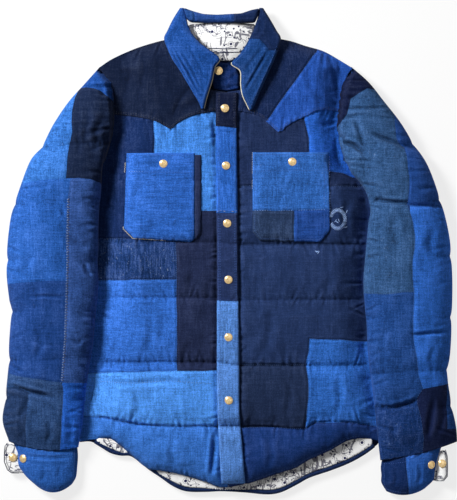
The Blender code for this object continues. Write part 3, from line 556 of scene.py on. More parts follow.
def cut(outline, lines, step):
    """Triangles half a step wide inside an outline, with edges along it and along the lines."""
    border = resample(outline, step, closed=True)
    lines = [resample(line, step) for line in lines]
    fixed = np.concatenate([border] + lines)
    low = border.min(0)
    high = border.max(0)
    rows = np.arange(low[1], high[1], step * 0.866)
    grid = []
    for i, y in enumerate(rows):
        xs = np.arange(low[0] + (i % 2) * step / 2, high[0], step)
        grid.append(np.stack((xs, np.full(len(xs), y)), 1))
    grid = np.concatenate(grid)
    grid = grid[inside(grid, border)]
    grid = grid[nearest(grid, fixed) > 0.62 * step]
    edges = [(i, (i + 1) % len(border)) for i in range(len(border))]
    start = len(border)
    for line in lines:
        edges += [(start + i, start + i + 1) for i in range(len(line) - 1)]
        start += len(line)
    made = delaunay_2d_cdt([Vector(p) for p in np.concatenate((fixed, grid))], edges, [], 0, 1e-3)
    flat = np.array([tuple(v) for v in made[0]])
    triangles = np.array([tuple(f) for f in made[2]])
    triangles = triangles[inside(flat[triangles].mean(1), border)]
    return halved(flat, facing_up(flat, triangles))


def halved(flat, triangles):
    """Each triangle cut into four at the middles of its edges."""
    edges, number = np.unique(np.sort(sides_of(triangles), 1), axis=0, return_inverse=True)
    middles = (flat[edges[:, 0]] + flat[edges[:, 1]]) / 2
    ab, bc, ca = np.asarray(number).reshape(3, -1) + len(flat)
    a, b, c = triangles.T
    parts = ((a, ab, ca), (ab, b, bc), (ca, bc, c), (ab, bc, ca))
    return np.concatenate((flat, middles)), np.concatenate([np.stack(p, 1) for p in parts])


def border_edges(triangles):
    """The edges that only one triangle has, as pairs in that triangle's order."""
    known = {tuple(p) for p in sides_of(triangles).tolist()}
    return [(a, b) for a, b in known if (b, a) not in known]


def mark_wear_and_painted_shade(mesh):
    """Store each point's height over its surroundings: worn ridges, painted shade in the valleys.
    """
    z = np.empty(len(mesh.vertices) * 3)
    mesh.vertices.foreach_get("co", z)
    z = z[2::3] / MM
    pairs = np.empty(len(mesh.edges) * 2, np.int32)
    mesh.edges.foreach_get("vertices", pairs)
    a, b = pairs.reshape(-1, 2).T
    count = np.bincount(a, minlength=len(z)) + np.bincount(b, minlength=len(z)) + 1.0
    around = z
    for _ in range(WEAR_AND_SHADE_REACH):
        around = (around + np.bincount(a, around[b], len(z))
                  + np.bincount(b, around[a], len(z))) / count
    # above its surroundings the cloth is worn and paler; below them the darkening is painted shade
    wear_and_shade = np.clip((z - around) / WEAR_AND_SHADE_FULL, -1.9, 0.7)
    mesh.attributes.new("wear_and_painted_shade", "FLOAT", "POINT")
    mesh.attributes["wear_and_painted_shade"].data.foreach_set("value", wear_and_shade)


def add_piece(name, points, faces, materials, indices=None):
    """A named mesh piece from points in millimetres in the jacket's own frame."""
    mesh = bpy.data.meshes.new(name)
    points = (np.asarray(points, float) + np.array([*shift, 0.0])) * MM
    mesh.from_pydata(points.tolist(), [], [tuple(int(i) for i in f) for f in faces])
    for item in materials:
        mesh.materials.append(item)
    if indices is not None:
        mesh.polygons.foreach_set("material_index", np.asarray(indices, np.int32))
    mesh.shade_smooth()
    mesh.validate()
    # worn ridges are paled, and the hollows are darkened with painted shade
    if len(points) > 400:
        mark_wear_and_painted_shade(mesh)
    piece = bpy.data.objects.new(name, mesh)
    bpy.context.collection.objects.link(piece)
    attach(piece, "root")
    return piece


def painted(centres, patches, base):
    """Each face's fabric: the last patch that holds its centre."""
    names = [base] + [fabric for fabric, _ in patches]
    order = list(dict.fromkeys(names))
    chosen = np.zeros(len(centres), int)
    for fabric, outline in patches:
        chosen[inside(centres, outline)] = order.index(fabric)
    return order, chosen


def groove(flat, lines, depth, width):
    """Relief of the seams between patches: a narrow ditch between two soft ridges."""
    if not lines:
        return np.zeros(len(flat))
    d = nearest(flat, np.concatenate([resample(line, 1.5) for line in lines]))
    return depth * (0.7 * np.exp(-((d - 2.2 * width) / width) ** 2) - np.exp(-(d / width) ** 2))


def panel(name, outline, patches, base, top, floor, extra_lines=(), step=4.0, thickness=None):
    """A closed padded panel: its top follows a height function, its rim goes down to a floor.

    With a thickness, its underside follows the top at that distance instead."""
    patches = [(fabric, hand_cut(shape, PATCH_SEED + i))
               for i, (fabric, shape) in enumerate(patches)]
    border = resample(outline, step, closed=True)
    seams = seams_of(patches, border)
    inner = [part for line in extra_lines for part in runs(line, inside(np.asarray(line), border))]
    flat, triangles = cut(outline, seams + inner, step)
    x, y = flat.T
    high = top(x, y) + groove(flat, seams, 0.8, SEAM_WIDTH)
    low = high - thickness if thickness else np.full(len(flat), float(floor))
    order, chosen = painted(flat[triangles].mean(1), patches, base)
    count = len(flat)
    points = np.concatenate((np.stack((x, y, high), 1), np.stack((x, y, low), 1)))
    edges = border_edges(triangles)
    under = (triangles if thickness else cut_border(flat, edges))[:, ::-1] + count
    faces = triangles.tolist() + under.tolist()
    fabric = chosen.tolist() + [0] * len(under)
    beside = {}
    for triangle, shade in zip(triangles.tolist(), chosen.tolist()):
        for i in range(3):
            beside[(triangle[i], triangle[(i + 1) % 3])] = shade
    for a, b in edges:
        faces.append((b, a, a + count, b + count))
        fabric.append(beside[(a, b)])
    used = np.unique(np.concatenate([np.asarray(f) for f in faces]))
    renumber = np.full(2 * count, -1)
    renumber[used] = np.arange(len(used))
    faces = [tuple(renumber[list(f)]) for f in faces]
    return add_piece(name, points[used], faces, [cloth(n) for n in order], fabric), seams


def cut_border(flat, edges):
    """Triangles that close a border loop, with no points inside it, all facing up."""
    follow = dict(edges)
    start = edges[0][0]
    loop = [start]
    while follow[loop[-1]] != start:
        loop.append(follow[loop[-1]])
    made = delaunay_2d_cdt([Vector(flat[i]) for i in loop],
                           [(i, (i + 1) % len(loop)) for i in range(len(loop))], [], 1, 1e-6)
    triangles = np.array([[loop[made[3][i][0]] for i in face] for face in made[2]])
    return facing_up(flat, triangles)


# ------------------------------------------------------------------ sleeves and cuffs
SLEEVE_CREASES_RIGHT = (
    (2.0, 3.6, ((-300, 169), (-285, 160), (-272, 158))),
    (2.6, 5.0, ((-198, 214), (-214, 190), (-206, 164))),
    (2.2, 3.6, ((-212, 270), (-204, 258), (-199, 246))),
    (1.6, 4.5, ((-228, 236), (-226, 205), (-232, 172))),
    (2.2, 2.8, ((-266, 67), (-265, 60), (-264, 54))),
    (3.2, 3.2, ((-219, 82), (-212, 78), (-203, 72))),
    (1.5, 5.0, ((-250, 20), (-235, 8), (-222, 12))),
    (3.4, 3.0, ((-232, -20), (-227, -32), (-220, -41))),
    (1.4, 2.3, ((-320, -72), (-290, -71.5), (-262, -72.5))),
    (1.5, 5.5, ((-330, 20), (-318, -10), (-326, -35))),
    (1.6, 3.0, ((-250, -139), (-242, -147), (-234, -141))),
    (1.4, 4.6, ((-310, -120), (-300, -150), (-308, -170))),
    (2.8, 3.2, ((-237, -181), (-230, -188), (-222, -192))),
    (4.2, 3.0, ((-362, -214), (-340, -217), (-318, -224), (-282, -232))),
    (6.0, 11.0, ((-376, -210), (-340, -217), (-318, -224), (-262, -236))),
    (2.4, 4.2, ((-321, -230), (-327, -250), (-337, -266))),
    (1.8, 4.0, ((-340, -270), (-330, -288), (-334, -302))),
    (1.8, 4.0, ((-290, -268), (-286, -290), (-292, -306))),
    (1.6, 4.0, ((-258, -262), (-252, -285), (-256, -306))),
)
SLEEVE_CREASES_LEFT = (
    (4.6, 2.6, ((170, 192), (184, 173), (198, 169), (216, 155))),
    (5.5, 9.0, ((166, 196), (184, 173), (198, 169), (220, 152))),
    (1.6, 3.4, ((199, 212), (208, 183), (216, 158))),
    (5.0, 9.0, ((190, 222), (208, 183), (220, 150))),
    (5.2, 3.0, ((181, 175), (199, 165), (217, 153))),
    (4.4, 2.8, ((224, 189), (245, 178), (263, 173), (275, 167), (310, 163))),
    (9.0, 12.0, ((212, 192), (245, 178), (263, 173), (275, 167), (330, 160))),
    (6.0, 11.0, ((220, 172), (213, 133), (218, 108), (227, 66))),
    (4.0, 2.7, ((222, 74), (235, 81), (255, 78), (286, 75))),
    (9.0, 12.0, ((208, 70), (235, 81), (255, 78), (300, 74))),
    (1.8, 2.8, ((280, 75), (298, 72), (318, 73), (342, 68))),
    (6.5, 11.0, ((262, 77), (298, 72), (318, 73), (360, 66))),
    (1.8, 6.5, ((262, 60), (258, 32), (264, 0))),
    (1.5, 5.5, ((322, 40), (316, 12), (322, -10))),
    (2.2, 2.6, ((286, -133), (315, -131), (351, -128))),
    (4.0, 10.0, ((276, -134), (315, -131), (366, -127))),
    (1.4, 4.5, ((248, -120), (240, -150), (246, -178))),
    (1.6, 4.2, ((325, -150), (318, -175), (326, -192))),
    (4.0, 3.0, ((229, -247), (256, -250), (276, -245), (291, -240), (300, -231))),
    (7.5, 11.0, ((218, -246), (256, -250), (276, -245), (291, -240), (312, -222))),
    (1.8, 4.0, ((262, -268), (258, -288), (266, -312))),
    (2.4, 4.2, ((324, -232), (319, -262), (312, -302))),
    (1.8, 4.0, ((336, -232), (340, -262), (332, -294))),
)
CUFF_CREASES_RIGHT = (
    (1.2, 2.6, ((-250, -330), (-290, -330), (-334, -326))),
    (0.9, 3.0, ((-300, -340), (-296, -355), (-300, -368))),
    (0.9, 3.0, ((-270, -342), (-274, -358), (-268, -370))),
)
CUFF_CREASES_LEFT = (
    (1.0, 3.0, ((262, -345), (266, -362), (260, -378))),
    (1.0, 3.0, ((300, -338), (304, -355), (300, -374))),
)


class Shape:
    """A form between two folds, known by sections: t counts them, u runs from fold to fold."""

    def __init__(self, table, own_creases, seed):
        self.curves = sections(table)
        self.last = len(table) - 1
        self.creases = own_creases
        self.seed = seed

    def learn(self, rows, ranks):
        """Remember where a grid of t and u lies as seen from above, to find others by."""
        t, u = np.meshgrid(np.linspace(0, self.last, rows), np.linspace(0, 1, ranks),
                           indexing="ij")
        self.known = np.stack((t.ravel(), u.ravel()), 1)
        self.tree = tree_of(np.stack([v.ravel() for v in self.flat(t, u)], 1))

    def locate(self, points):
        """The (t, u) of points given as seen from above, held to the form's own range."""
        found = []
        for x, y in points:
            t, u = self.known[self.tree.find((x, y, 0))[1]]
            for _ in range(4):
                x0, y0 = self.flat(t, u)
                xt, yt = self.flat(t + 0.01, u)
                xu, yu = self.flat(t, u + 0.001)
                jacobian = np.array([[xt - x0, (xu - x0) * 10], [yt - y0, (yu - y0) * 10]]) * 100
                if abs(np.linalg.det(jacobian)) < 1e-6:
                    break
                dt, du = np.linalg.solve(jacobian, (x - x0, y - y0))
                t = min(max(t + dt, -0.5), self.last + 0.5)
                u = min(max(u + du, -0.1), 1.1)
            found.append((t, u))
        return np.array(found)


class Tube(Shape):
    """A flattened padded tube, as the solids have it, with its folds and creases.

    Its surface is cut from a chart: a runs along the tube, b around it from the inner fold
    over the top wall to the outer fold, and back under the bottom wall."""

    SECTION = 40.0        # chart length of one section
    HALF = 160.0          # chart width of one wall

    def __init__(self, table, mid_out, mid_in, quilting, own_creases, seed, seam=None):
        super().__init__(table, own_creases, seed)
        self.mids = (mid_out, mid_in)
        self.quilting = quilting
        self.seam = seam
        self.side = 1 if table[0][0] > 0 else -1
        self.learn(10 * self.last + 1, 61)

    def flat(self, t, u):
        """Seen from above: u is 0 at the outer fold and 1 at the inner one."""
        out_x, out_y, in_x, in_y, bow, _ = (curve(t) for curve in self.curves)
        length = np.hypot(in_x - out_x, in_y - out_y)
        normal_x = -(in_y - out_y) / length
        normal_y = (in_x - out_x) / length
        bulge = -4 * self.side * bow * u * (1 - u)
        x = mix(out_x, in_x, u) + normal_x * bulge
        y = mix(out_y, in_y, u) + normal_y * bulge
        if self.seam:
            x = mix(x, self.seam(y), np.clip(1 - t / 0.6, 0, 1) ** 2 * ramp(u / 0.15))
        return x, y

    def share(self, b):
        """How far across from the outer to the inner fold a chart's b lies."""
        return (1 + np.cos(np.pi * b / self.HALF)) / 2

    def chart(self, located, under=False):
        """The chart's (a, b) of a (t, u), on the upper wall or under it."""
        t, u = located.T
        b = np.arccos(np.clip(2 * u - 1, -1, 1)) / np.pi * self.HALF
        return np.stack((t * self.SECTION, 2 * self.HALF - b if under else b), 1)

    def quilted(self, x, y, u):
        """What quilting and rumples do at a point: its share of the full height, how near a
        quilting line it lies, and the small relief."""
        full = np.ones(np.shape(x))
        dip = np.zeros(np.shape(x))
        relief = 1.3 * noise(x, y, 40, self.seed) + 0.8 * noise(x * 1.3, y, 20, self.seed + 1)
        relief += 0.35 * folds(x, y * 0.6, 13, self.seed + 2)
        for number, (line, shown) in enumerate(self.quilting):
            d = y - line - 5 * noise(x, 0 * x, 60, self.seed + 3 + number)
            strong = shown * (1 + noise(x, y, 50, self.seed + 9)) + 0.9 * np.abs(2 * u - 1) ** 5
            full = full * (1 - (1 - SLEEVE_KEPT) * strong * np.exp(-np.abs(d) / QUILT_WIDTH))
            dip += np.exp(-np.abs(d) / 7)
            relief -= STITCH_DIP * strong * np.exp(-(d / STITCH_WIDTH) ** 2)
            for way in (1, -1):
                relief += strong * puckers(x, way * d, x.min(), x.max(),
                                           self.seed + 2 * number + way, depth=2.2, reach=30)
        return full, np.minimum(dip, 1), relief

    def seam_puckers(self, x, y, t, u, width):
        """The reliefs of puckers at a sleeve's two folds and its armhole, or at a cuff's seam."""
        down = t * self.SECTION
        if self.quilting:
            for way, share in ((30, u), (31, 1 - u)):
                yield puckers(y, share * width, -320, 280, self.seed + way, spacing=18, depth=2.2,
                              reach=34)
            yield puckers(y, down, 130, 290, self.seed + 32, depth=1.6, reach=34)
        else:
            yield puckers(x, down, x.min(), x.max(), self.seed + 32, spacing=8, depth=0.9,
                          reach=14)

    def surface(self, a, b):
        """Points of the tube's surface, in millimetres."""
        t = a / self.SECTION
        angle = np.pi * b / self.HALF
        u = self.share(b)
        x, y = self.flat(t, u)
        width = np.abs(self.curves[2](t) - self.curves[0](t))
        full, dip, relief = self.quilted(x, y, u)
        relief += creases(x, y, self.creases)
        for puckered in self.seam_puckers(x, y, t, u, width):
            relief += puckered
        mid = mix(*self.mids, u)
        if self.seam:
            mid = np.where(t < 1, mix(SLEEVE_MID_TOP, mid, np.clip(t, 0, 1)), mid)
        height = self.curves[5](t)
        steep = 1.05
        if self.quilting:
            ends = ramp(t / 1.5) * ramp((self.last - t) / 3)
            height = height + SLEEVE_PUFF * ends * mix(0.6, 1, u)
            steep = mix(steep, 0.7, ramp((u - 0.45) / 0.3))
            x = x - self.side * (3.0 * dip - 1.0) * np.exp(-u * width / 9)
        swell = np.abs(np.sin(angle)) ** np.where(angle <= np.pi, steep, 0.8)
        high = mid + (height * full - mid) * swell + relief * swell
        if self.seam:
            high = high - SLEEVE_TUCK * (1 - ramp(t / 0.3)) * ramp(np.sin(angle) * 3)
        low = np.maximum(0, mid - 1.5 * mid * swell) + 1.2 * dip * swell
        return np.stack((x, y, np.where(angle <= np.pi, high, low)), 1)

    def seen_from_above(self, line):
        """A line of the chart as seen from above."""
        a, b = line.T
        return np.stack(self.flat(a / self.SECTION, self.share(b)), 1)

    def top_at(self, x, y):
        """Height of the upper wall over points given as seen from above."""
        chart = self.chart(self.locate(np.stack((x, y), 1)))
        return self.surface(*chart.T)[:, 2]

    def seam_lines(self, patches):
        """The patches' seams in the chart, on the upper wall and again under it."""
        lines = []
        for line in seams_of(patches):
            located = self.locate(line)
            t, u = located.T
            kept = (t > 0.02) & (t < self.last - 0.02) & (u > 0.0) & (u < 1.0)
            reach = kept.copy()
            reach[1:] |= kept[:-1]
            reach[:-1] |= kept[1:]
            located[:, 1] = np.clip(u, 0, 1)
            located[:, 0] = np.clip(t, 0.03, self.last - 0.03)
            for part in runs(located, reach):
                lines += [self.chart(part), self.chart(part, under=True)]
        return lines

    def build(self, name, patches, base, under, step):
        """The tube as one closed mesh piece; under names other fabrics for its bottom wall."""
        patches = [(fabric, hand_cut(shape, SLEEVE_PATCH_SEED + self.seed + i))
                   for i, (fabric, shape) in enumerate(patches)]
        length = self.last * self.SECTION
        half = self.HALF
        outline = ((0, 0), (length, 0), (length, half), (length, 2 * half), (0, 2 * half),
                   (0, half))
        lines = self.seam_lines(patches)
        flat, triangles = cut(outline, lines, step)
        points = self.surface(*flat.T)
        if lines:
            ditch = groove(flat, lines, 0.5, SEAM_WIDTH)
            points[:, 2] += ditch * np.sin(np.pi * flat[:, 1] / half)
        middle = flat[triangles].mean(1)
        order, chosen = painted(self.seen_from_above(middle), patches, base)
        order += [n for n in under.values() if n not in order]
        for fabric, other in under.items():
            below = (middle[:, 1] > half) & (chosen == order.index(fabric))
            chosen[below] = order.index(other)
        faces = triangles.tolist()
        for end, inwards in ((0.0, 1), (length, -1)):
            ring = np.flatnonzero(np.abs(flat[:, 0] - end) < 1e-3)
            ring = ring[np.argsort(flat[ring, 1])]
            first = len(points)
            points = np.concatenate((points, self.mouth(flat[ring], end, inwards)))
            faces += [quad[::inwards] for quad in mouth_faces(ring, first)]
        fabric = chosen.tolist() + [0] * (len(faces) - len(chosen))
        piece = add_piece(name, points, faces, [cloth(n) for n in order], fabric)
        close_up(piece)
        return piece, lines

    def mouth(self, ring, end, inwards):
        """The ring's points moved into the tube's open end, where its two walls nearly meet."""
        u = mix(0.06, 0.94, self.share(ring[:, 1]))
        t = end / self.SECTION + inwards * MOUTH_DEPTH
        x, y = self.flat(np.full(len(u), t), u)
        z = mix(*self.mids, u) + 0.5 * np.sin(np.pi * ring[:, 1] / self.HALF)
        return np.stack((x, y, z), 1)


def mouth_faces(ring, first):
    """Faces from a ring of points to the one numbered from first, and across that one."""
    count = len(ring)
    walls = [(ring[k], ring[k + 1], first + k + 1, first + k) for k in range(count - 1)]
    across = [(first + k, first + k + 1, first + count - 2 - k, first + count - 1 - k)
              for k in range(count // 2)]
    return walls + across


def close_up(piece):
    """Weld a piece's coinciding points and turn its faces outwards."""
    work = bmesh.new()
    work.from_mesh(piece.data)
    bmesh.ops.remove_doubles(work, verts=work.verts, dist=0.02 * MM)
    bmesh.ops.dissolve_degenerate(work, dist=0.01 * MM, edges=work.edges)
    bmesh.ops.recalc_face_normals(work, faces=work.faces)
    if work.calc_volume(signed=True) < 0:
        bmesh.ops.reverse_faces(work, faces=work.faces)
    work.to_mesh(piece.data)
    work.free()


# ------------------------------------------------------------------ materials
# fabrics: colour, unevenness of the dye, slubs, pale flecks, lean of the slubs from weft (-1)
# to warp (1)
FABRICS = {
    "ink": ("1d2747", 0.16, 0.42, 0.0, 0.0),
    "navy": ("20335c", 0.18, 0.42, 0.0, 0.0),
    "yoke_navy": ("0c1832", 0.16, 0.38, 0.0, 0.0),
    "dusty": ("2c4c8a", 0.30, 0.60, 0.15, 0.0),
    "indigo": ("0d234e", 0.26, 0.50, 0.0, 0.2),
    "black": ("121e43", 0.14, 0.36, 0.0, 0.0),
    "purple": ("0a1535", 0.14, 0.36, 0.0, 0.0),
    "royal": ("2560c3", 0.30, 0.60, 0.05, 0.0),
    "royal_dark": ("173a77", 0.28, 0.56, 0.05, 0.0),
    "hem_royal": ("14326c", 0.26, 0.46, 0.0, 0.0),
    "hem_mid": ("3168b9", 0.26, 0.62, 0.10, 0.0),
    "bright": ("2c65bb", 0.34, 0.70, 0.15, 0.0),
    "mid": ("2d62b9", 0.26, 0.62, 0.10, -0.2),
    "mid_dark": ("24509c", 0.30, 0.60, 0.10, 0.0),
    "denim": ("275bb0", 0.24, 0.66, 0.10, -0.3),
    "pocket_mid": ("2d62b1", 0.24, 0.70, 0.25, 0.0),
    "pocket_royal": ("1e4690", 0.24, 0.56, 0.05, 0.0),
    "collar_blue": ("17448a", 0.26, 0.62, 0.10, 0.0),
    "collar_dark": ("133971", 0.30, 0.60, 0.05, 0.0),
    "band_blue": ("07265b", 0.34, 0.56, 0.05, 0.0),
    "sky": ("3c7bce", 0.26, 0.66, 0.25, 0.1),
    "sky_low": ("488ae0", 0.26, 0.60, 0.20, 0.0),
    "slate": ("25426f", 0.28, 0.66, 0.30, 0.0),
    "ink_slate": ("1c2b4b", 0.16, 0.40, 0.0, 0.0),
    "pocket_slate": ("283b5d", 0.22, 0.56, 0.20, 0.3),
    "teal": ("2e517f", 0.30, 0.66, 0.45, 0.0),
    "speckled": ("183569", 0.40, 0.90, 0.80, 0.7),
    "speckled_dark": ("13336a", 0.34, 0.70, 0.55, 0.0),
    "pale": ("5080c8", 0.22, 0.66, 0.20, 0.4),
    "sleeve_navy": ("0f1d39", 0.16, 0.42, 0.0, 0.0),
    "yoke_indigo": ("0f2147", 0.24, 0.48, 0.0, 0.3),
    "placket_ink": ("0c1632", 0.14, 0.40, 0.0, 0.0),
    "placket_navy": ("22325b", 0.18, 0.42, 0.0, 0.0),
    "cuff_navy": ("0d2859", 0.18, 0.42, 0.0, 0.0),
    "cap_blue": ("154186", 0.24, 0.60, 0.10, 0.0),
    "sleeve_sky": ("295ea6", 0.28, 0.74, 0.30, 0.0),
    "sleeve_mid": ("1f4f99", 0.30, 0.66, 0.15, 0.0),
    "sleeve_deep": ("2f69c7", 0.28, 0.56, 0.05, 0.0),
    "sleeve_medium": ("1d4586", 0.28, 0.60, 0.10, 0.0),
    "sleeve_royal": ("234d97", 0.24, 0.46, 0.0, 0.0),
    "yoke_royal": ("224fa5", 0.28, 0.56, 0.0, 0.3),
    "cuff_blue": ("2a5caf", 0.24, 0.50, 0.05, 0.0),
    "cuff_mid": ("2557a4", 0.30, 0.60, 0.10, 0.0),
    "placket_blue": ("265cb2", 0.24, 0.62, 0.10, 0.6),
    "edge_navy": ("0c2046", 0.18, 0.40, 0.0, 0.0),
    # painted shade: a darker slate where a fold shades the right sleeve low on its outer side
    "sleeve_fold_shade": ("182e52", 0.26, 0.56, 0.15, 0.0),
    "navy_deep": ("1b2b50", 0.18, 0.42, 0.0, 0.0),
    "piping": ("cfc9b4", 0.12, 0.20, 0.0, 0.0),
}


WARP_PITCH = 0.0009       # the weave's threads, m
WEFT_PITCH = 0.0008


def linear(code):
    """The linear colour of a six-digit sRGB code."""
    values = [int(code[i:i + 2], 16) / 255 for i in (0, 2, 4)]
    return [v / 12.92 if v <= 0.04045 else ((v + 0.055) / 1.055) ** 2.4 for v in values]


class Shader:
    """A node material under construction."""

    def __init__(self, name, roughness, **constants):
        self.material = bpy.data.materials.new(name)
        self.material.use_nodes = True
        self.tree = self.material.node_tree
        self.surface = self.tree.nodes["Principled BSDF"]
        self.surface.inputs["Roughness"].default_value = roughness
        for key, value in constants.items():
            self.surface.inputs[key.replace("_", " ")].default_value = value
        self.place = self.add("ShaderNodeTexCoord").outputs["Object"]

    def add(self, kind, settings=(), **inputs):
        """A node with its settings and inputs; i0, i1 and so on are inputs by number."""
        node = self.tree.nodes.new(kind)
        for key, value in dict(settings).items():
            setattr(node, key, value)
        for key, value in inputs.items():
            self.put(node.inputs[int(key[1:])] if key[0] == "i" and key[1:].isdigit()
                     else node.inputs[key], value)
        return node

    def put(self, socket, value):
        """Link another node's output to an input, or set its value."""
        if isinstance(value, bpy.types.NodeSocket):
            self.tree.links.new(value, socket)
        else:
            socket.default_value = value

    def math(self, operation, a, b=0.0, c=0.0, clamp=False):
        """One step of arithmetic."""
        node = self.add("ShaderNodeMath", {"operation": operation, "use_clamp": clamp},
                        i0=a, i1=b, i2=c)
        return node.outputs[0]

    def mapped(self, scale):
        """The object's coordinates, scaled along each axis."""
        return self.add("ShaderNodeMapping", Vector=self.place, Scale=scale).outputs[0]

    def noise(self, scale, detail=2.0, distortion=0.0, roughness=0.5):
        """Noise with so many bumps to the metre along each axis."""
        node = self.add("ShaderNodeTexNoise", Vector=self.mapped(scale), Scale=1.0, Detail=detail,
                        Distortion=distortion, Roughness=roughness)
        return node.outputs["Fac"]

    def threads(self, pitch, axis):
        """Ridges of the weave's threads along one axis."""
        node = self.add("ShaderNodeTexWave",
                        {"wave_type": "BANDS", "bands_direction": axis, "wave_profile": "SIN"},
                        Vector=self.place, Scale=0.314 / pitch, Distortion=1.2, Detail=2.0)
        node.inputs["Detail Scale"].default_value = 0.7
        return node.outputs["Fac"]

    def ramp(self, value, stops):
        """A value turned into a colour between stops."""
        node = self.add("ShaderNodeValToRGB", Fac=value)
        elements = node.color_ramp.elements
        while len(elements) < len(stops):
            elements.new(0.5)
        for element, (at, colour) in zip(elements, stops):
            element.position = at
            element.color = (*colour, 1.0)
        return node.outputs["Color"]

    def blend(self, factor, a, b):
        """A colour between two others."""
        node = self.add("ShaderNodeMix", {"data_type": "RGBA"})
        self.put(node.inputs["Factor"], factor)
        for socket, value in zip([s for s in node.inputs if s.type == "RGBA"], (a, b)):
            self.put(socket, value if isinstance(value, bpy.types.NodeSocket) else (*value, 1.0))
        return next(s for s in node.outputs if s.type == "RGBA")

    def bump(self, height, strength, distance):
        """Let the surface's light follow a height."""
        node = self.add("ShaderNodeBump", Height=height, Strength=strength, Distance=distance)
        self.put(self.surface.inputs["Normal"], node.outputs["Normal"])

    def colour(self, socket):
        self.put(self.surface.inputs["Base Color"], socket)


@functools.cache
def cloth(name):
    """Woven cotton: uneven dye, slubs along the warp, picks across it, flecks and weave."""
    if name == "lining":
        return lining()
    code, uneven, slubs, flecks, lean = FABRICS[name]
    shader = Shader(name, 0.95, Sheen_Weight=0.04, Sheen_Roughness=0.4, Specular_IOR_Level=0.08)
    base = np.array(linear(code))
    dye = shader.noise((24, 18, 24), 5.0, 0.4, 0.6)
    warp = shader.noise((430, 38, 200), 3.0, 0.3, 0.62)
    weft = shader.noise((40, 410, 200), 3.0, 0.3, 0.62)
    grain = shader.noise((520, 520, 520), 3.0, 0.0, 0.7)
    weave = shader.math("MULTIPLY", shader.threads(WARP_PITCH, "X"),
                        shader.threads(WEFT_PITCH, "Y"))
    # worn ridges pale the colour; hollows are darkened with painted shade
    wear_and_shade = shader.add("ShaderNodeAttribute", {"attribute_name": "wear_and_painted_shade"}).outputs["Fac"]
    value = 0.5
    for texture, middle, weight in ((dye, 0.5, uneven * 3.1),
                                    (warp, 0.5, slubs * 1.5 * (1 + lean)),
                                    (weft, 0.5, slubs * 1.5 * (1 - lean)),
                                    (grain, 0.5, slubs * 2.7),
                                    (weave, 0.3, 0.20),
                                    (wear_and_shade, 0.0, 0.16)):
        away = shader.math("SUBTRACT", texture, middle)
        value = shader.math("MULTIPLY_ADD", away, weight, value)
    value = shader.math("ADD", value, 0.0, clamp=True)
    pale = base * 1.6 + 0.008 + (np.array((0.16, 0.19, 0.24)) - base) * 0.08 * (1 + flecks)
    colour = shader.ramp(value, ((0.0, base * 0.42), (0.5, base), (1.0, pale)))
    if flecks:
        specks = shader.noise((430, 230, 430), 3.0, 0.6, 0.7)
        edge = 0.69 - 0.08 * flecks
        specks = shader.math("MULTIPLY", shader.math("SUBTRACT", specks, edge, clamp=True), 9.0,
                             clamp=True)
        specks = shader.math("MULTIPLY", specks, 0.25 + 0.55 * flecks)
        colour = shader.blend(specks, colour, (0.36, 0.45, 0.60))
    shader.colour(colour)
    height = shader.math("MULTIPLY_ADD", weave, 0.5, shader.math("MULTIPLY", warp, 0.8))
    height = shader.math("MULTIPLY_ADD", weft, 0.5, height)
    height = shader.math("MULTIPLY_ADD", grain, 0.6, height)
    shader.bump(height, 0.6, 0.0008)
    return shader.material


def lining():
    """White cotton with a small print: round seed heads, loose dots and thin bent stems."""
    shader = Shader("lining", 0.9, Sheen_Weight=0.05, Specular_IOR_Level=0.1)
    heads = shader.add("ShaderNodeTexVoronoi", {"feature": "F1", "voronoi_dimensions": "2D"},
                       Vector=shader.place, Scale=50.0, Randomness=0.85)
    choice = shader.add("ShaderNodeSeparateColor", Color=heads.outputs["Color"])
    size = shader.math("MULTIPLY_ADD", choice.outputs[1], 0.06, 0.07)
    picked = shader.math("LESS_THAN", choice.outputs[0], 0.72)
    head = shader.math("LESS_THAN", heads.outputs["Distance"],
                       shader.math("MULTIPLY", size, picked))
    halo = shader.math("ABSOLUTE", shader.math("SUBTRACT", heads.outputs["Distance"], 0.21))
    halo = shader.math("MULTIPLY", shader.math("LESS_THAN", halo, 0.014), picked)
    dots = shader.add("ShaderNodeTexVoronoi", {"feature": "F1", "voronoi_dimensions": "2D"},
                      Vector=shader.place, Scale=130.0, Randomness=0.9)
    few = shader.add("ShaderNodeSeparateColor", Color=dots.outputs["Color"]).outputs[0]
    few = shader.math("MULTIPLY", shader.math("GREATER_THAN", few, 0.86), 0.19)
    dot = shader.math("LESS_THAN", dots.outputs["Distance"], few)
    stem = 0.0
    for scale, threshold, stretch in ((60, 0.026, (1.0, 0.35, 0)), (95, 0.024, (0.4, 1.0, 0))):
        bend = shader.add("ShaderNodeTexNoise", {}, Vector=shader.mapped(stretch), Scale=scale,
                          Detail=1.0, Distortion=1.4).outputs[0]
        line = shader.math("ABSOLUTE", shader.math("SUBTRACT", bend, 0.5))
        stem = shader.math("MAXIMUM", shader.math("LESS_THAN", line, threshold), stem)
    gaps = shader.noise((60, 60, 60), 1.0)
    stem = shader.math("MULTIPLY", stem, shader.math("GREATER_THAN", gaps, 0.46))
    weave = shader.noise((700, 700, 700), 2.0)
    ground = shader.ramp(weave, ((0.2, (0.75, 0.75, 0.74)), (0.8, (0.88, 0.88, 0.88))))
    colour = shader.blend(shader.math("MULTIPLY", stem, 0.9), ground, (0.09, 0.09, 0.13))
    colour = shader.blend(shader.math("MULTIPLY", halo, 0.8), colour, (0.08, 0.08, 0.13))
    colour = shader.blend(shader.math("MAXIMUM", head, dot), colour, (0.016, 0.018, 0.07))
    shader.colour(colour)
    shader.bump(weave, 0.3, 0.0004)
    return shader.material


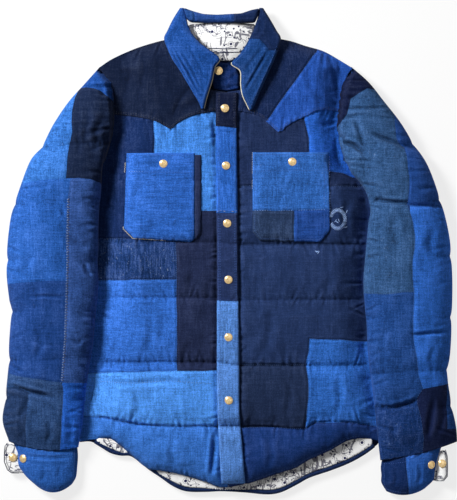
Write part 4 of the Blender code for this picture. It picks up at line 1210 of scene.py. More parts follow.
@functools.cache
def brass():
    """Worn brass: unevenly browned and pitted."""
    shader = Shader("brass", 0.38, Metallic=1.0)
    tarnish = shader.noise((420, 420, 420), 4.0, 0.5, 0.6)
    shader.colour(shader.ramp(tarnish, ((0.25, (0.30, 0.19, 0.08)), (0.5, (0.58, 0.42, 0.21)),
                                        (0.8, (0.76, 0.60, 0.35)))))
    shader.put(shader.surface.inputs["Roughness"],
               shader.math("MULTIPLY_ADD", tarnish, 0.25, 0.22))
    shader.bump(tarnish, 0.25, 0.0002)
    return shader.material


@functools.cache
def thread(name, code):
    """Sewing thread: twisted cotton in one colour, a little uneven."""
    shader = Shader(name, 0.7, Sheen_Weight=0.1)
    base = np.array(linear(code))
    twist = shader.noise((1500, 1500, 1500), 1.0)
    shader.colour(shader.ramp(twist, ((0.2, base * 0.7), (0.8, base * 1.25))))
    return shader.material


# ------------------------------------------------------------------ patchwork
# patches in the order they are laid: fabric, outline; a later one covers an earlier one
PATCHES_FRONT_RIGHT = (
    ("hem_mid", ((-240, -262), (-190, -268), (-145, -277), (-100, -279), (20, -280), (20, -400),
                 (-240, -400))),
    ("mid", ((-240, 60), (-50, 60), (-50, -191), (-84, -191), (-160, -192), (-220, -195),
             (-240, -196))),
    ("speckled", ((-240, 60), (-50, 60), (-50, -46), (-150, -45.5), (-240, -47))),
    ("indigo", ((-240, 250), (-100, 250), (-100, 20), (-240, 20))),
    ("sky", ((-122, 250), (10, 250), (10, 40), (-70, 40), (-70, 140), (-121, 140), (-121, 180))),
    ("ink", ((-58, 64), (10, 64), (10, -190), (-21, -190), (-84, -191), (-86, 14), (-70, 14),
             (-58, 30))),
)
PATCHES_FRONT_LEFT = (
    ("ink_slate", ((-20, -150), (126, -150), (122, -283), (60, -281), (-20, -281))),
    ("navy", ((-20, 250), (240, 250), (240, -160), (128, -160), (126, -181), (-20, -181))),
    ("navy_deep", ((-20, 250), (240, 250), (240, 103), (-20, 104))),
    ("bright", ((127, -139), (180, -142), (240, -146), (240, -281), (190, -273), (135, -274),
                (121, -283), (122, -260), (125, -230), (124, -200), (121, -180), (126, -160))),
    ("royal", ((118, 250), (240, 250), (240, 112), (195, 118), (180, 124), (157, 127), (140, 130),
               (126, 128), (126, 158), (125, 180), (120, 200), (118, 213))),
)
PATCHES_YOKE_LEFT = (
    ("yoke_royal", ((142, 335), (240, 335), (240, 190), (49, 190), (57, 205), (95, 259),
                    (138, 319))),
)
PATCHES_POCKET_LEFT = (
    ("pocket_slate", ((20, 64), (102, 64.5), (102, 0), (20, 0))),
    ("pocket_royal", ((102, 65), (180, 66), (180, 0), (102, 0))),
)
PATCHES_SLEEVE_RIGHT = (
    ("royal_dark", ((-400, 150), (-150, 150), (-150, -213), (-225, -211), (-269, -208),
                    (-310, -203), (-340, -199), (-354, -195), (-400, -193))),
    ("sleeve_mid", ((-400, 150), (-150, 150), (-150, -46), (-262, -46), (-300, -48), (-330, -50),
                    (-354, -53), (-400, -54))),
    ("sleeve_sky", ((-400, 330), (-150, 330), (-150, 116), (-260, 115), (-290, 114), (-315, 111),
                    (-332, 107), (-400, 104))),
    # painted shade of a fold, laid as a darker patch
    ("sleeve_fold_shade", ((-400, -216), (-336, -218), (-320, -225), (-322, -250), (-325, -280),
                     (-326, -330), (-400, -330))),
    ("royal", ((-266, -190), (-150, -190), (-150, -350), (-273, -350), (-268, -270), (-265, -240))),
    ("dusty", ((-257, 80), (-250, 130), (-150, 130), (-150, -211), (-225, -211), (-269, -209),
               (-266, -175), (-262, -140), (-259, -47), (-258, -10), (-260, 20))),
    ("sleeve_navy", ((-240, 260), (-230, 290), (-150, 290), (-150, 100), (-180, 104), (-205, 107),
                     (-220, 113), (-240, 116), (-260, 115), (-257, 150), (-254, 170), (-250, 190),
                     (-251, 205), (-250, 225), (-246, 245))),
    ("cap_blue", ((-240, 260), (-260, 330), (-150, 330), (-150, 215), (-180, 232), (-190, 243),
                  (-205, 255), (-215, 259), (-230, 261))),
)
PATCHES_SLEEVE_LEFT = (
    ("black", ((300, -190), (400, -190), (400, -350), (306, -350), (307.5, -299), (303, -265),
               (297, -243), (297, -232), (303, -224))),
    ("sleeve_deep", ((285, 120), (400, 120), (400, -208), (345, -212), (307, -219), (285, -222))),
    ("sleeve_medium", ((345.5, -213), (400, -210), (400, -283), (346, -283))),
    ("sleeve_medium", ((150, -40), (288, -40), (291, -66), (290, -130), (300, -200), (305, -215),
                       (307, -219), (301, -227), (297.5, -233), (291, -240), (276, -245),
                       (256, -250), (232, -247), (150, -243))),
    ("teal", ((150, 330), (261, 330), (261, 219), (262, 200), (264, 180), (268, 172), (277, 165),
              (281, 150), (284, 120), (284, 95), (281, 73), (285, 62), (290, 45), (293, 25),
              (292, 0), (289, -20), (289, -45), (291, -65), (265, -66), (240, -69), (214, -68),
              (150, -67))),
    ("sleeve_royal", ((261, 330), (400, 330), (400, 66), (337, 68), (285, 73), (281, 73), (284, 95),
                      (284, 120), (281, 150), (277, 165), (268, 172), (264, 180), (262, 200),
                      (261, 219))),
    ("purple", ((150, 330), (230, 330), (230, 257), (218, 260), (205, 252), (192, 243), (189, 230),
                (186, 218), (172, 198), (150, 180))),
)
PATCHES_CUFF_LEFT = (
    ("cuff_blue", ((278, -300), (400, -300), (400, -420), (287, -420), (285, -388), (282, -360))),
)
PATCHES_COLLAR_LEFT = (
    ("edge_navy", ((20, 400), (100, 400), (100, 318), (62, 318), (58, 325), (47, 337), (31, 338),
                   (20, 336))),
)
PATCHES_COLLAR_BACK = (
    ("edge_navy", ((6, 350), (60, 350), (60, 400), (6, 400))),
    # painted shade: the wearer's right end is a darker cloth where the collar's fold shades it
    ("collar_dark", ((-90, 350), (-57, 350), (-57, 400), (-90, 400))),
)
PATCHES_PLACKET = (
    ("placket_ink", ((-40, 270), (30, 270), (30, 194), (-40, 200))),
    ("placket_navy", ((-40, 61), (30, 61), (30, -81), (-40, -78))),
    ("pale", ((-40, -78), (30, -81), (40, -400), (-40, -400))),
)
# the back's underside, which shows when the jacket is turned over
PATCHES_BACK = (
    ("navy", ((-230, 400), (-40, 400), (-36, 262), (-230, 250))),
    ("royal", ((-40, 400), (120, 400), (118, 240), (-36, 246))),
    ("slate", ((118, 400), (240, 400), (240, 214), (118, 214))),
    ("ink", ((-230, 252), (-92, 256), (-88, 120), (-230, 124))),
    ("sky", ((-90, 248), (32, 246), (36, 104), (-90, 108))),
    ("indigo", ((34, 246), (140, 216), (240, 216), (240, 84), (36, 90))),
    ("teal", ((-240, 126), (-130, 122), (-134, -30), (-240, -26))),
    ("mid", ((-132, 110), (10, 106), (14, -62), (-132, -56))),
    ("navy", ((12, 106), (96, 88), (240, 86), (240, -70), (14, -62))),
    ("speckled", ((-240, -28), (-120, -34), (-118, -176), (-240, -172))),
    ("dusty", ((-120, -56), (40, -62), (44, -214), (-118, -210))),
    ("sky_low", ((42, -64), (150, -70), (154, -190), (44, -186))),
    ("black", ((150, -68), (240, -70), (240, -240), (152, -236))),
    ("denim", ((-240, -170), (-120, -176), (-112, -400), (-240, -400))),
    ("ink_slate", ((-116, -208), (0, -214), (4, -400), (-114, -400))),
    ("royal_dark", ((2, -212), (100, -206), (104, -400), (2, -400))),
    ("pale", ((102, -234), (240, -238), (240, -400), (104, -400))),
)


# ------------------------------------------------------------------ cloth pieces
def along(function, first, last, step=4.0):
    """Points (x, function(x)) from the first x to the last."""
    xs = np.linspace(first, last, max(2, int(abs(last - first) / step) + 1))
    return [(x, float(function(x))) for x in xs]


def upwards(function, first, last, step=4.0):
    """Points (function(y), y) from the first y to the last."""
    return [(x, y) for y, x in along(function, first, last, step)]


def front_outline(side):
    """A front: hem, side seam and armhole, the edge under the yoke, the edge at the placket."""
    sign = outwards(side)
    hem_x = float(side(-300.0))
    top_x = float(side(220.0))
    middle = -3.0 + sign * 0.4

    def edge(y):
        return side(y) + sign * UNDER_SLEEVE * ramp((150 - y) / 14)

    outline = along(hem_front, middle, hem_x)
    outline += upwards(edge, outline[-1][1], float(yoke_line(top_x)) + UNDER_YOKE)[1:]
    outline += along(lambda x: yoke_line(x) + UNDER_YOKE, top_x, middle)[1:]
    return outline


def yoke_outline(side, neck):
    """A yoke: its pointed lower edge, armhole, shoulder seam and neckline."""
    sign = outwards(side)
    low_x = float(side(220.0))
    high_x = float(side(292.0)) + sign * 1.7
    outline = along(yoke_line, -5.3 + sign * 0.4, low_x)
    outline += upwards(lambda y: side(y) + sign * 2.2 * ramp((y - 262) / 14),
                       float(yoke_line(low_x)), 292.0)[1:]
    outline += along(shoulder_line, high_x, float(neck(1.0)))
    for rise in (0.75, 0.5, 0.25, 0.04, 0.0):
        x = float(neck(rise))
        outline.append((x + (sign * 0.4 if rise == 0 else 0), mix(NECK_Y, NECK_TOP_Y, rise)))
    return outline


def quilting_on(first, last):
    """The quilting lines between two x, as lines for the mesh to follow."""
    return [along(line, first, last) for line, _ in QUILTING_LINES]


def yoke_top(x, y):
    """A yoke lies on the fronts: its turned edge stands a little above them."""
    return body_top(x, y) + YOKE_THICKNESS


def body():
    """The fronts, and the yokes over them; gives their patches' seams by the piece's name."""
    made = {}
    for side_name, side, neck, patches, base, yoke_patches, yoke_base in (
        ("right", side_right, neck_right, PATCHES_FRONT_RIGHT, "sky_low", (), "yoke_navy"),
        ("left", side_left, neck_left, PATCHES_FRONT_LEFT, "hem_royal", PATCHES_YOKE_LEFT,
         "yoke_indigo"),
    ):
        piece, seams = panel(f"front_{side_name}_cloth", front_outline(side), patches, base,
                             body_top, BODY_FLOOR, quilting_on(-220, 230))
        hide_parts(f"front_{side_name}")
        made[f"front_{side_name}"] = seams
        piece, seams = panel(f"yoke_{side_name}_cloth", yoke_outline(side, neck), yoke_patches,
                             yoke_base, yoke_top, BODY_FLOOR)
        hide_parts(f"yoke_{side_name}")
        made[f"yoke_{side_name}"] = seams
    return made


def sleeves():
    """The sleeves and cuffs; gives each one's tube and its patches' seams."""
    right = Tube(SLEEVE_RIGHT, SLEEVE_MID_OUT, SLEEVE_MID_IN, SLEEVE_QUILTING_RIGHT,
                 SLEEVE_CREASES_RIGHT, 100, lambda y: side_right(y) + 4.0)
    left = Tube(SLEEVE_LEFT, SLEEVE_MID_OUT, SLEEVE_MID_IN, SLEEVE_QUILTING_LEFT,
                SLEEVE_CREASES_LEFT, 200, lambda y: side_left(y) - 4.0)
    cuff_right = Tube(CUFF_RIGHT, CUFF_MID, CUFF_MID, (), CUFF_CREASES_RIGHT, 300)
    cuff_left = Tube(CUFF_LEFT, CUFF_MID, CUFF_MID, (), CUFF_CREASES_LEFT, 400)
    made = {}
    for node, tube, patches, base, under, slot, step in (
        ("sleeve_right", right, PATCHES_SLEEVE_RIGHT, "slate", {"sleeve_sky": "mid_dark"},
         "denim_blue", 4.4),
        ("sleeve_left", left, PATCHES_SLEEVE_LEFT, "speckled_dark", {"teal": "royal"},
         "denim_slate", 4.4),
        ("cuff_right", cuff_right, (), "cuff_mid", {}, "denim_blue", 4.0),
        ("cuff_left", cuff_left, PATCHES_CUFF_LEFT, "cuff_navy", {}, "denim_navy", 4.0),
    ):
        piece, seams = tube.build(node + "_cloth", patches, base, under, step)
        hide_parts(node)
        made[node] = (tube, seams)
    return made


# ------------------------------------------------------------------ pieces laid on the body
def rounded(outline, top, drop, width):
    """A top surface whose rim is turned down by drop over width."""
    border = resample(outline, 1.5, closed=True)

    def at(x, y):
        d = nearest(np.stack((x, y), 1), border)
        return top(x, y) - drop * (1 - dome(d / width))

    return at


def placket_outline():
    """The placket's outline with points close enough to follow its slant."""
    right = upwards(placket_right, -371, 252, 12)
    left = upwards(placket_left, -371, 252, 12)
    return right + left[::-1]


def inset_line(outline, distance):
    """A closed outline moved inwards by a distance, corners mitred."""
    points = np.asarray(outline, float)
    before = points - np.roll(points, 1, 0)
    after = np.roll(points, -1, 0) - points
    before /= np.hypot(*before.T)[:, None]
    after /= np.hypot(*after.T)[:, None]
    middle = before + after
    middle /= np.hypot(*middle.T)[:, None]
    cosine = np.maximum((middle * after).sum(1), 0.35)
    turn = np.cross(points, np.roll(points, -1, 0)).sum()
    normal = np.stack((-middle[:, 1], middle[:, 0]), 1) * (1 if turn > 0 else -1)
    return points + normal * (distance / cosine)[:, None]


def laid_top(outline, thickness, seed):
    """Height of a thin piece sewn to the body at its edge, which spans the hollows inside it."""
    border = resample(outline, 3.0, closed=True)

    def at(x, y):
        own = 0.7 * noise(x, y, 26, seed) + 0.5 * folds(x, y, 12, seed + 1)
        body = body_top(x, y)
        bed = CROWN + 0.8 + 1.2 * noise(x, y, 60, seed + 2) - 0.04 * np.abs(x - centre(y)) + own
        inner = ramp(nearest(np.stack((x, y), 1), border) / 15)
        return np.maximum(mix(body + 0.4, bed, inner), body + 0.2) + thickness

    return at


def placket_top(x, y):
    """The placket bridges the fronts' hollows halfway, and is a little fuller in its middle."""
    across = (x - placket_right(y)) / (placket_left(y) - placket_right(y))
    crown = 0.9 * np.sin(np.pi * np.clip(across, 0, 1))
    waves = 0.5 * folds(x * 0.5, y, 16, 71) + 0.4 * noise(x, y, 30, 72)
    bed = body_top(x, y) * 0.5 + (front_height(x, y) + 0.5) * 0.5
    return bed + PLACKET_THICKNESS + crown + waves


POCKET_RIGHT_TOP = laid_top(POCKET_RIGHT, PATCH_THICKNESS, 75)
POCKET_LEFT_TOP = laid_top(POCKET_LEFT, PATCH_THICKNESS, 78)
TAB_TOP = laid_top(POCKET_TAB_RIGHT, PATCH_THICKNESS - 0.6, 81)


def laid_pieces():
    """Placket and pockets: thin sheets that follow the fronts."""
    for node, outline, patches, base, top, thickness, slot, size, area in (
        ("placket", placket_outline(), PATCHES_PLACKET, "placket_blue", placket_top,
         PLACKET_THICKNESS, "denim_light", (0.038, 0.623), None),
        ("pocket_right", POCKET_RIGHT, (), "denim", POCKET_RIGHT_TOP, PATCH_THICKNESS,
         "denim_blue", (0.113, 0.142), 0.0155),
        ("pocket_tab_right", POCKET_TAB_RIGHT, (), "ink", TAB_TOP, PATCH_THICKNESS,
         "denim_navy", (0.0101, 0.135), 0.00132),
        ("pocket_left", POCKET_LEFT, PATCHES_POCKET_LEFT, "pocket_mid", POCKET_LEFT_TOP,
         PATCH_THICKNESS, "denim_blue", (0.123, 0.143), 0.0169),
    ):
        piece, _ = panel(node + "_cloth", outline, patches, base,
                         rounded(outline, top, thickness * 0.9, 2.4), 0, step=3.2,
                         thickness=thickness)
        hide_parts(node)


# ------------------------------------------------------------------ the collar
LEAF_CREASES_RIGHT = (
    (2.4, 1.7, ((-97, 326), (-74, 284), (-50, 241))),
    (2.0, 1.6, ((-88, 320), (-67, 284), (-49, 250))),
    (1.2, 1.6, ((-77, 318), (-59, 286), (-46, 256))),
    (0.8, 1.8, ((-64, 322), (-50, 298), (-40, 276))),
    (1.2, 3.0, ((-76, 372), (-66, 352), (-48, 336))),
)
LEAF_CREASES_LEFT = (
    (2.0, 2.0, ((62, 320), (44, 290), (28, 262), (22, 254))),
    (1.8, 1.8, ((80, 322), (63, 286), (47, 252), (36, 229))),
    (0.9, 2.6, ((56, 330), (38, 306), (22, 284))),
    (1.1, 3.0, ((50, 372), (48, 352), (36, 338))),
)


class Leaf(Shape):
    """A collar leaf: a padded flap between its outer edge and its neck and front edge."""

    def __init__(self, table, own_creases, seed):
        super().__init__(table, own_creases, seed)
        self.learn(121, 41)

    def flat(self, t, u):
        out_x, out_y, in_x, in_y, _ = (curve(t) for curve in self.curves)
        return mix(out_x, in_x, u), mix(out_y, in_y, u)

    def outline(self):
        t = np.linspace(0, self.last, 81)
        outer = np.stack(self.flat(t, 0 * t), 1)
        inner = np.stack(self.flat(t, 0 * t + 1), 1)
        return np.concatenate((outer, inner[::-1]))

    def top_at(self, x, y):
        """Height of the leaf, over the yoke where it lies on it and over its bed elsewhere."""
        t, u = self.locate(np.stack((x, y), 1)).T
        bed = self.curves[4](t)
        bottom = np.where(bed > 25, np.maximum(bed, yoke_top(x, y) + 0.5), bed)
        width = np.hypot(self.curves[0](t) - self.curves[2](t),
                         self.curves[1](t) - self.curves[3](t))
        outer = dome(np.clip(u, 0, 1) * width / 6.5)
        inner = dome(np.clip(1 - u, 0, 1) * width / mix(14, 5, ramp((t - 4) / 2)))
        loft = mix(LEAF_EDGE, LEAF_LOFT, outer * inner) + 0.5 * noise(x, y, 24, self.seed)
        own = 0.4 * folds(x + 0.5 * y, y * 0.3, 9, self.seed + 1) * outer * inner
        return bottom + loft + own + creases(x, y, self.creases)


def collar():
    """The leaves, the collar's back and the band; gives the leaves by side."""
    made = {}
    for side_name, table, folds_table, patches, base in (
        ("right", LEAF_RIGHT, LEAF_CREASES_RIGHT, (), "collar_blue"),
        ("left", LEAF_LEFT, LEAF_CREASES_LEFT, PATCHES_COLLAR_LEFT, "collar_dark"),
    ):
        leaf = Leaf(table, folds_table, 500 if side_name == "right" else 520)
        piece, _ = panel(f"collar_leaf_{side_name}_cloth", leaf.outline(), patches, base,
                         leaf.top_at, 0, step=3.2, thickness=LEAF_THICKNESS)
        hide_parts(f"collar_leaf_{side_name}")
        made[side_name] = leaf

    def back_top(x, y):
        roll = 0.8 * folds(x, y * 0.3, 13, 540) + 0.6 * noise(x, y, 20, 541)
        return 24.0 + roll

    def band_top(x, y):
        dip, _ = to_polyline(x, y, ((-24, 263), (-6, 259), (15, 264)))
        low, _ = to_polyline(x, y, ((-12, 272), (2, 276), (12, 284)))
        return (25.6 - 2.2 * np.exp(-(dip / 3) ** 2) - 1.2 * np.exp(-(low / 3.4) ** 2)
                + 0.9 * noise(x, y, 15, 542) + 0.6 * folds(x, y, 9, 543))

    for node, outline, patches, base, top, floor_z, round_off in (
        ("collar_back", BACK_COLLAR, PATCHES_COLLAR_BACK, "royal_dark", back_top, 0.0, 6.0),
        ("collar_band", BAND, (), "band_blue", band_top, BODY_FLOOR, 5.0),
    ):
        outline = smooth_loop(outline)
        piece, _ = panel(node + "_cloth", outline, patches, base,
                         rounded(outline, top, round_off, round_off), floor_z, step=3.2)
        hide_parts(node)
    return made


def smooth_loop(outline, step=2.0):
    """A closed outline with its corners eased, as points of a fine loop."""
    points = resample(outline, step, closed=True)
    for _ in range(2):
        points = (np.roll(points, 1, 0) + 2 * points + np.roll(points, -1, 0)) / 4
    return points


# ------------------------------------------------------------------ back and linings
def back_outline():
    """The back: its hem, both sides, and the shoulders and neck across its top."""
    outline = along(hem_back, -239, 236)
    outline += upwards(side_left, -304, 287)
    outline += [(x, float(shoulder_line(x))) for x in (193, 175, 150, 120, 95, 66)]
    outline += [(x, float(back_neck(x))) for x in (48, 38, 20, 0, -20, -45, -66, -74)]
    outline += [(x, float(shoulder_line(x))) for x in (-95, -125, -155, -180, -206)]
    outline += upwards(side_right, 287, -304)
    return outline


def back():
    """The back lies face down: its patchwork is the underside, quilted and pressed flat."""
    outline = back_outline()

    def under(x, y):
        sunk = np.zeros(np.shape(x))
        for line, _ in QUILTING_LINES:
            d = y - line(x)
            sunk = np.maximum(sunk, 1.8 * np.exp(-np.abs(d) / 7)
                              * (0.8 + 0.3 * folds(x, d * 0.3, 10, 600)))
        sunk += 0.25 * (1 + noise(x, y, 30, 601)) * ramp(sunk * 4)
        return BACK_THICKNESS - sunk

    piece, _ = panel("back_cloth", outline, PATCHES_BACK, "edge_navy",
                     rounded(outline, under, 2.6, 3.2), 0.0, quilting_on(-225, 232), step=4.0)
    for polygon in piece.data.polygons:
        if polygon.normal.z < 0.5:
            polygon.material_index = 0
    for vertex in piece.data.vertices:
        vertex.co.z = BACK_THICKNESS * MM - vertex.co.z
    close_up(piece)
    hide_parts("back")


def facing_rise(x):
    """The left cuff's facing stands up a little towards its outer edge."""
    return FACING_LIFT * ramp((x - 328) / 14)


def lining_surface(outline, top, rise):
    """A lining's top: domed by its rise towards the middle of its outline."""
    middle = outline.mean(0)
    reach = np.abs(outline - middle).max(0)

    def at(x, y):
        away = ((x - middle[0]) / reach[0]) ** 2 + ((y - middle[1]) / reach[1]) ** 2
        return (top + rise * np.maximum(1 - away, 0) + 0.25 * noise(x, y, 18, 620)
                + 0.2 * folds(x, y, 9, 621) + facing_rise(x))

    return at


def neck_top():
    """Height of the neck's lining."""
    return lining_surface(smooth_loop(NECK_LINING, LINING_STEP), LINING_TOP, NECK_RISE)


def lining_piece(node, outline, top, thickness, held_by, rise):
    """A thin flat sheet of lining, with a rounded edge."""
    outline = smooth_loop(outline, LINING_STEP)
    at = lining_surface(outline, top, rise)
    piece, _ = panel(node + "_cloth", outline, (), "lining",
                     rounded(outline, at, thickness * 0.6, 1.2), 0, step=LINING_STEP,
                     thickness=thickness)
    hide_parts(node)


def hem_strip(first, last):
    """The back's lining that shows between its own hem and the fronts'."""
    low = [(x, y + min(7.0, 0.35 * (float(hem_front(x)) - y)))
           for x, y in along(hem_back, first, last)]
    high = [(x, y + 3.0) for x, y in along(hem_front, first, last)]
    return low + high[::-1]


def outline_area(outline):
    """Area of an outline in square metres."""
    points = np.asarray(outline, float)
    return abs(np.cross(points, np.roll(points, -1, 0)).sum()) / 2 * MM * MM


def facing_outline(edge, cuff, inwards, low, high):
    """A cuff facing's outline: its free edge, and a line tucked inside the cuff's outer fold."""
    fold = columns([(row[1], row[0]) for row in cuff])
    return list(edge) + [(float(fold(y)) + inwards, y) for y in np.linspace(low, high, 8)]


def linings():
    """The neck's lining, the strips past the fronts' hems and the cuffs' facings."""
    right = facing_outline(FACING_RIGHT, CUFF_RIGHT, 3, -355, -312)
    left = facing_outline(FACING_LEFT, CUFF_LEFT, -3, -367, -320)
    for node, outline, height, below in (
        ("lining_neck", NECK_LINING, LINING_TOP, "back_cloth"),
        ("lining_hem_right", hem_strip(-214, -163), LINING_TOP, "back_cloth"),
        ("lining_hem_left", hem_strip(-118, 228), LINING_TOP, "back_cloth"),
        ("cuff_facing_right", right, FACING_TOP, "cuff_right_cloth"),
        ("cuff_facing_left", left, FACING_TOP, "cuff_left_cloth"),
    ):
        points = np.asarray(outline, float)
        flat_area = outline_area(outline)
        thickness = 2.0 if node.startswith("cuff") else 1.4
        lining_piece(node, outline, height, thickness,
                     below,
                     NECK_RISE if node == "lining_neck" else 0.0)


# ------------------------------------------------------------------ swept edges and sewing
def ring_walls(rings, sides):
    """Faces between rings of points that follow one another."""
    faces = []
    for start in range(0, (rings - 1) * sides, sides):
        for k in range(sides):
            beside = start + (k + 1) % sides
            faces.append((start + k, beside, beside + sides, start + k + sides))
    return faces


def swept(name, line, width, height, finish, sides=8):
    """A rounded strip along a line of points in space: a piping, a rolled edge or a seam."""
    line = np.asarray(line, float)
    ahead = np.roll(line, -1, 0) - np.roll(line, 1, 0)
    ahead[0] = line[1] - line[0]
    ahead[-1] = line[-1] - line[-2]
    ahead /= np.linalg.norm(ahead, axis=1)[:, None]
    side = np.stack((-ahead[:, 1], ahead[:, 0], 0 * ahead[:, 0]), 1)
    side /= np.maximum(np.linalg.norm(side, axis=1), 1e-9)[:, None]
    up = np.cross(ahead, side)
    up *= np.sign(up[:, 2:3])
    points = []
    for k in range(sides):
        angle = 2 * math.pi * k / sides
        points.append(line + side * math.cos(angle) * width / 2 + up * math.sin(angle) * height / 2)
    points = np.stack(points, 1).reshape(-1, 3)
    last = (len(line) - 1) * sides
    ends = [tuple(range(sides))[::-1], tuple(range(last, last + sides))]
    piece = add_piece(name, points, ring_walls(len(line), sides) + ends, [finish])
    close_up(piece)
    return piece


class Sewing:
    """Runs of stitches, gathered into one mesh."""

    def __init__(self):
        self.points = []
        self.faces = []
        self.count = 0

    def run(self, line, height, pitch=3.4, length=2.3, width=0.62, lift=0.12, slant=0.0):
        """Stitches along a line seen from above, on a surface of the given height."""
        spots = resample(line, pitch)
        if len(spots) < 3:
            return
        ahead = np.gradient(spots, axis=0)
        ahead /= np.maximum(np.hypot(*ahead.T), 1e-9)[:, None]
        if slant:
            turn = np.where(np.arange(len(spots)) % 2, slant, -slant)
            cos, sin = np.cos(turn), np.sin(turn)
            ahead = np.stack((ahead[:, 0] * cos - ahead[:, 1] * sin,
                              ahead[:, 0] * sin + ahead[:, 1] * cos), 1)
        jitter = noise(spots[:, 0] * 7, spots[:, 1] * 7, 5, 3)
        half = ahead * length / 2 * (1 + 0.15 * jitter)[:, None]
        starts, ends = spots - half, spots + half
        z = height(np.concatenate((starts[:, 0], spots[:, 0], ends[:, 0])),
                   np.concatenate((starts[:, 1], spots[:, 1], ends[:, 1])))
        z = z.reshape(3, -1) + lift
        side = np.stack((-ahead[:, 1], ahead[:, 0]), 1) * width / 2
        for i in range(len(spots)):
            a = np.array((*starts[i], z[0, i] - 0.25))
            b = np.array((*ends[i], z[2, i] - 0.25))
            across = np.array((*side[i], 0.0))
            up = np.array((0.0, 0.0, width * 0.45))
            rings = []
            for f in (0.25, 0.75):
                middle = mix(a, b, f)
                middle[2] = z[1, i]
                rings += [middle - across, middle + up, middle + across, middle - up]
            self.points += [a, *rings, b]
            n = self.count
            for k in range(4):
                j = (k + 1) % 4
                self.faces += [(n, n + 1 + j, n + 1 + k),
                               (n + 1 + k, n + 1 + j, n + 5 + j, n + 5 + k),
                               (n + 9, n + 5 + k, n + 5 + j)]
            self.count += 10

    def fleck(self, x, y, turn, half, height, length, width, lift, slant=0.0):
        """Three stitches half apart that run into one another, turned as given."""
        dx = half * math.cos(turn)
        dy = half * math.sin(turn)
        self.run(((x - dx, y - dy), (x, y), (x + dx, y + dy)), height, half, length, width, lift,
                 slant)

    def sew(self, name, finish):
        """The stitches so far as one piece."""
        piece = add_piece(name, self.points, self.faces, [finish])
        close_up(piece)
        return piece


# ------------------------------------------------------------------ snaps
# a cap's outline: share of its radius, height above its seat in mm
CAP_PROFILE = ((0.80, -0.3), (0.97, 0.0), (1.0, 0.35), (1.0, 0.8), (0.97, 1.15), (0.90, 1.30),
               (0.84, 1.22), (0.80, 1.32), (0.72, 1.75), (0.58, 2.15), (0.40, 2.42),
               (0.20, 2.56), (0.05, 2.60))
CAP_SIDES = 36
CAP_SINK = 0.2            # how deep a cap sits in the cloth


def snap_cap(node, height=None):
    """A snap's cap in fine brass, turned about the axis of its solid."""
    solid = np.array([tuple(v.co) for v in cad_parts[node].data.vertices]) / MM
    middle = solid.mean(0)
    axis = np.linalg.svd(solid - middle)[2][2]
    axis *= np.sign(axis[2])
    base = middle + axis * ((solid - middle) @ axis).min()
    base[:2] -= shift
    if height is not None:
        base[2] = float(height(base[:1], base[1:2])[0]) - CAP_SINK
    turn = Vector((0, 0, 1)).rotation_difference(Vector(axis))
    points = []
    for share, z in CAP_PROFILE:
        r = share * SNAP_DIAMETER / 2
        for k in range(CAP_SIDES):
            angle = 2 * math.pi * k / CAP_SIDES
            local = Vector((r * math.cos(angle), r * math.sin(angle), z))
            points.append(tuple(Vector(base) + turn @ local))
    bottom = tuple(range(CAP_SIDES))[::-1]
    top = tuple(range(len(points) - CAP_SIDES, len(points)))
    faces = [bottom] + ring_walls(len(CAP_PROFILE), CAP_SIDES) + [top]
    piece = add_piece(node + "_cap", points, faces, [brass()])
    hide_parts(node)


def snaps(tubes):
    """All thirteen caps, seated on the cloth below them."""
    for i in range(6):
        snap_cap(f"snap_placket_{i + 1}", placket_top)
    snap_cap("snap_pocket_right", POCKET_RIGHT_TOP)
    snap_cap("snap_pocket_left", POCKET_LEFT_TOP)
    snap_cap("snap_band")
    for side_name in ("right", "left"):
        snap_cap(f"snap_cuff_{side_name}", tubes[f"cuff_{side_name}"][0].top_at)
    snap_cap("snap_facing_right")
    snap_cap("snap_facing_left", lambda x, _: FACING_TOP + 1.3 + facing_rise(x))


# ------------------------------------------------------------------ edges, piping and stitches
def edges(leaves):
    """The rolled hem of the back, the collar's piping and the seams across the neck's lining."""
    line = [(x, y + 3.2, 6.9) for x, y in along(hem_back, -216, 230, 3)]
    piece = swept("hem_edge", line, 7.2, 5.6, cloth("edge_navy"), 10)
    for side_name, leaf in leaves.items():
        t = np.linspace(4.9, leaf.last, 40)
        x, y = leaf.flat(t, np.full(len(t), 0.995))
        z = leaf.top_at(x, y) - 1.0
        piece = swept(f"collar_piping_{side_name}", np.stack((x, y, z), 1), 1.9, 1.9,
                      cloth("piping"))
    top = neck_top()
    for name, line in (
        ("neck_seam", [(x, 317.4 + 0.3 * math.sin(x / 7)) for x in range(-34, 17, 3)]
         + [(18.5, 319.5), (22, 322.6), (26, 323.4)]),
        ("neck_seam_upper", [(x, 323.2 + 0.3 * math.sin(x / 6)) for x in range(-34, 12, 3)]),
    ):
        x, y = np.array(line).T
        piece = swept(name, np.stack((x, y, top(x, y) + 0.3), 1), 1.2, 1.0, cloth("ink"))


def sew_yokes(dark):
    """Two lines along the yokes' lower edges."""
    for distance in (2.2, 4.8):
        for side in (side_right, side_left):
            sign = outwards(side)
            line = along(lambda x: yoke_line(x) + distance, -5.0 + sign * 3,
                         float(side(220)) - sign * 2)
            dark.run(line, yoke_top, 3.2)


def sew_slanted(dark, white, on_sleeve):
    """Slanted pale stitches: over dark ones down the right sleeve, and low on the right front."""
    seam = ((-257, 82), (-258, 20), (-258, -10), (-259, -47), (-262, -140), (-267, -205))
    dark.run(np.array(seam) + (1.6, 0), on_sleeve, 4.2, 4.0, 1.4, 0.25, 1.0)
    white.run(seam, on_sleeve, 4.2, 3.4, 0.9, 0.3, 1.15)
    white.run(((-206, -208), (-150, -210.5), (-100, -206.5), (-32, -211)), body_top, 3.6, 2.2,
              0.5, 0.2, 0.7)


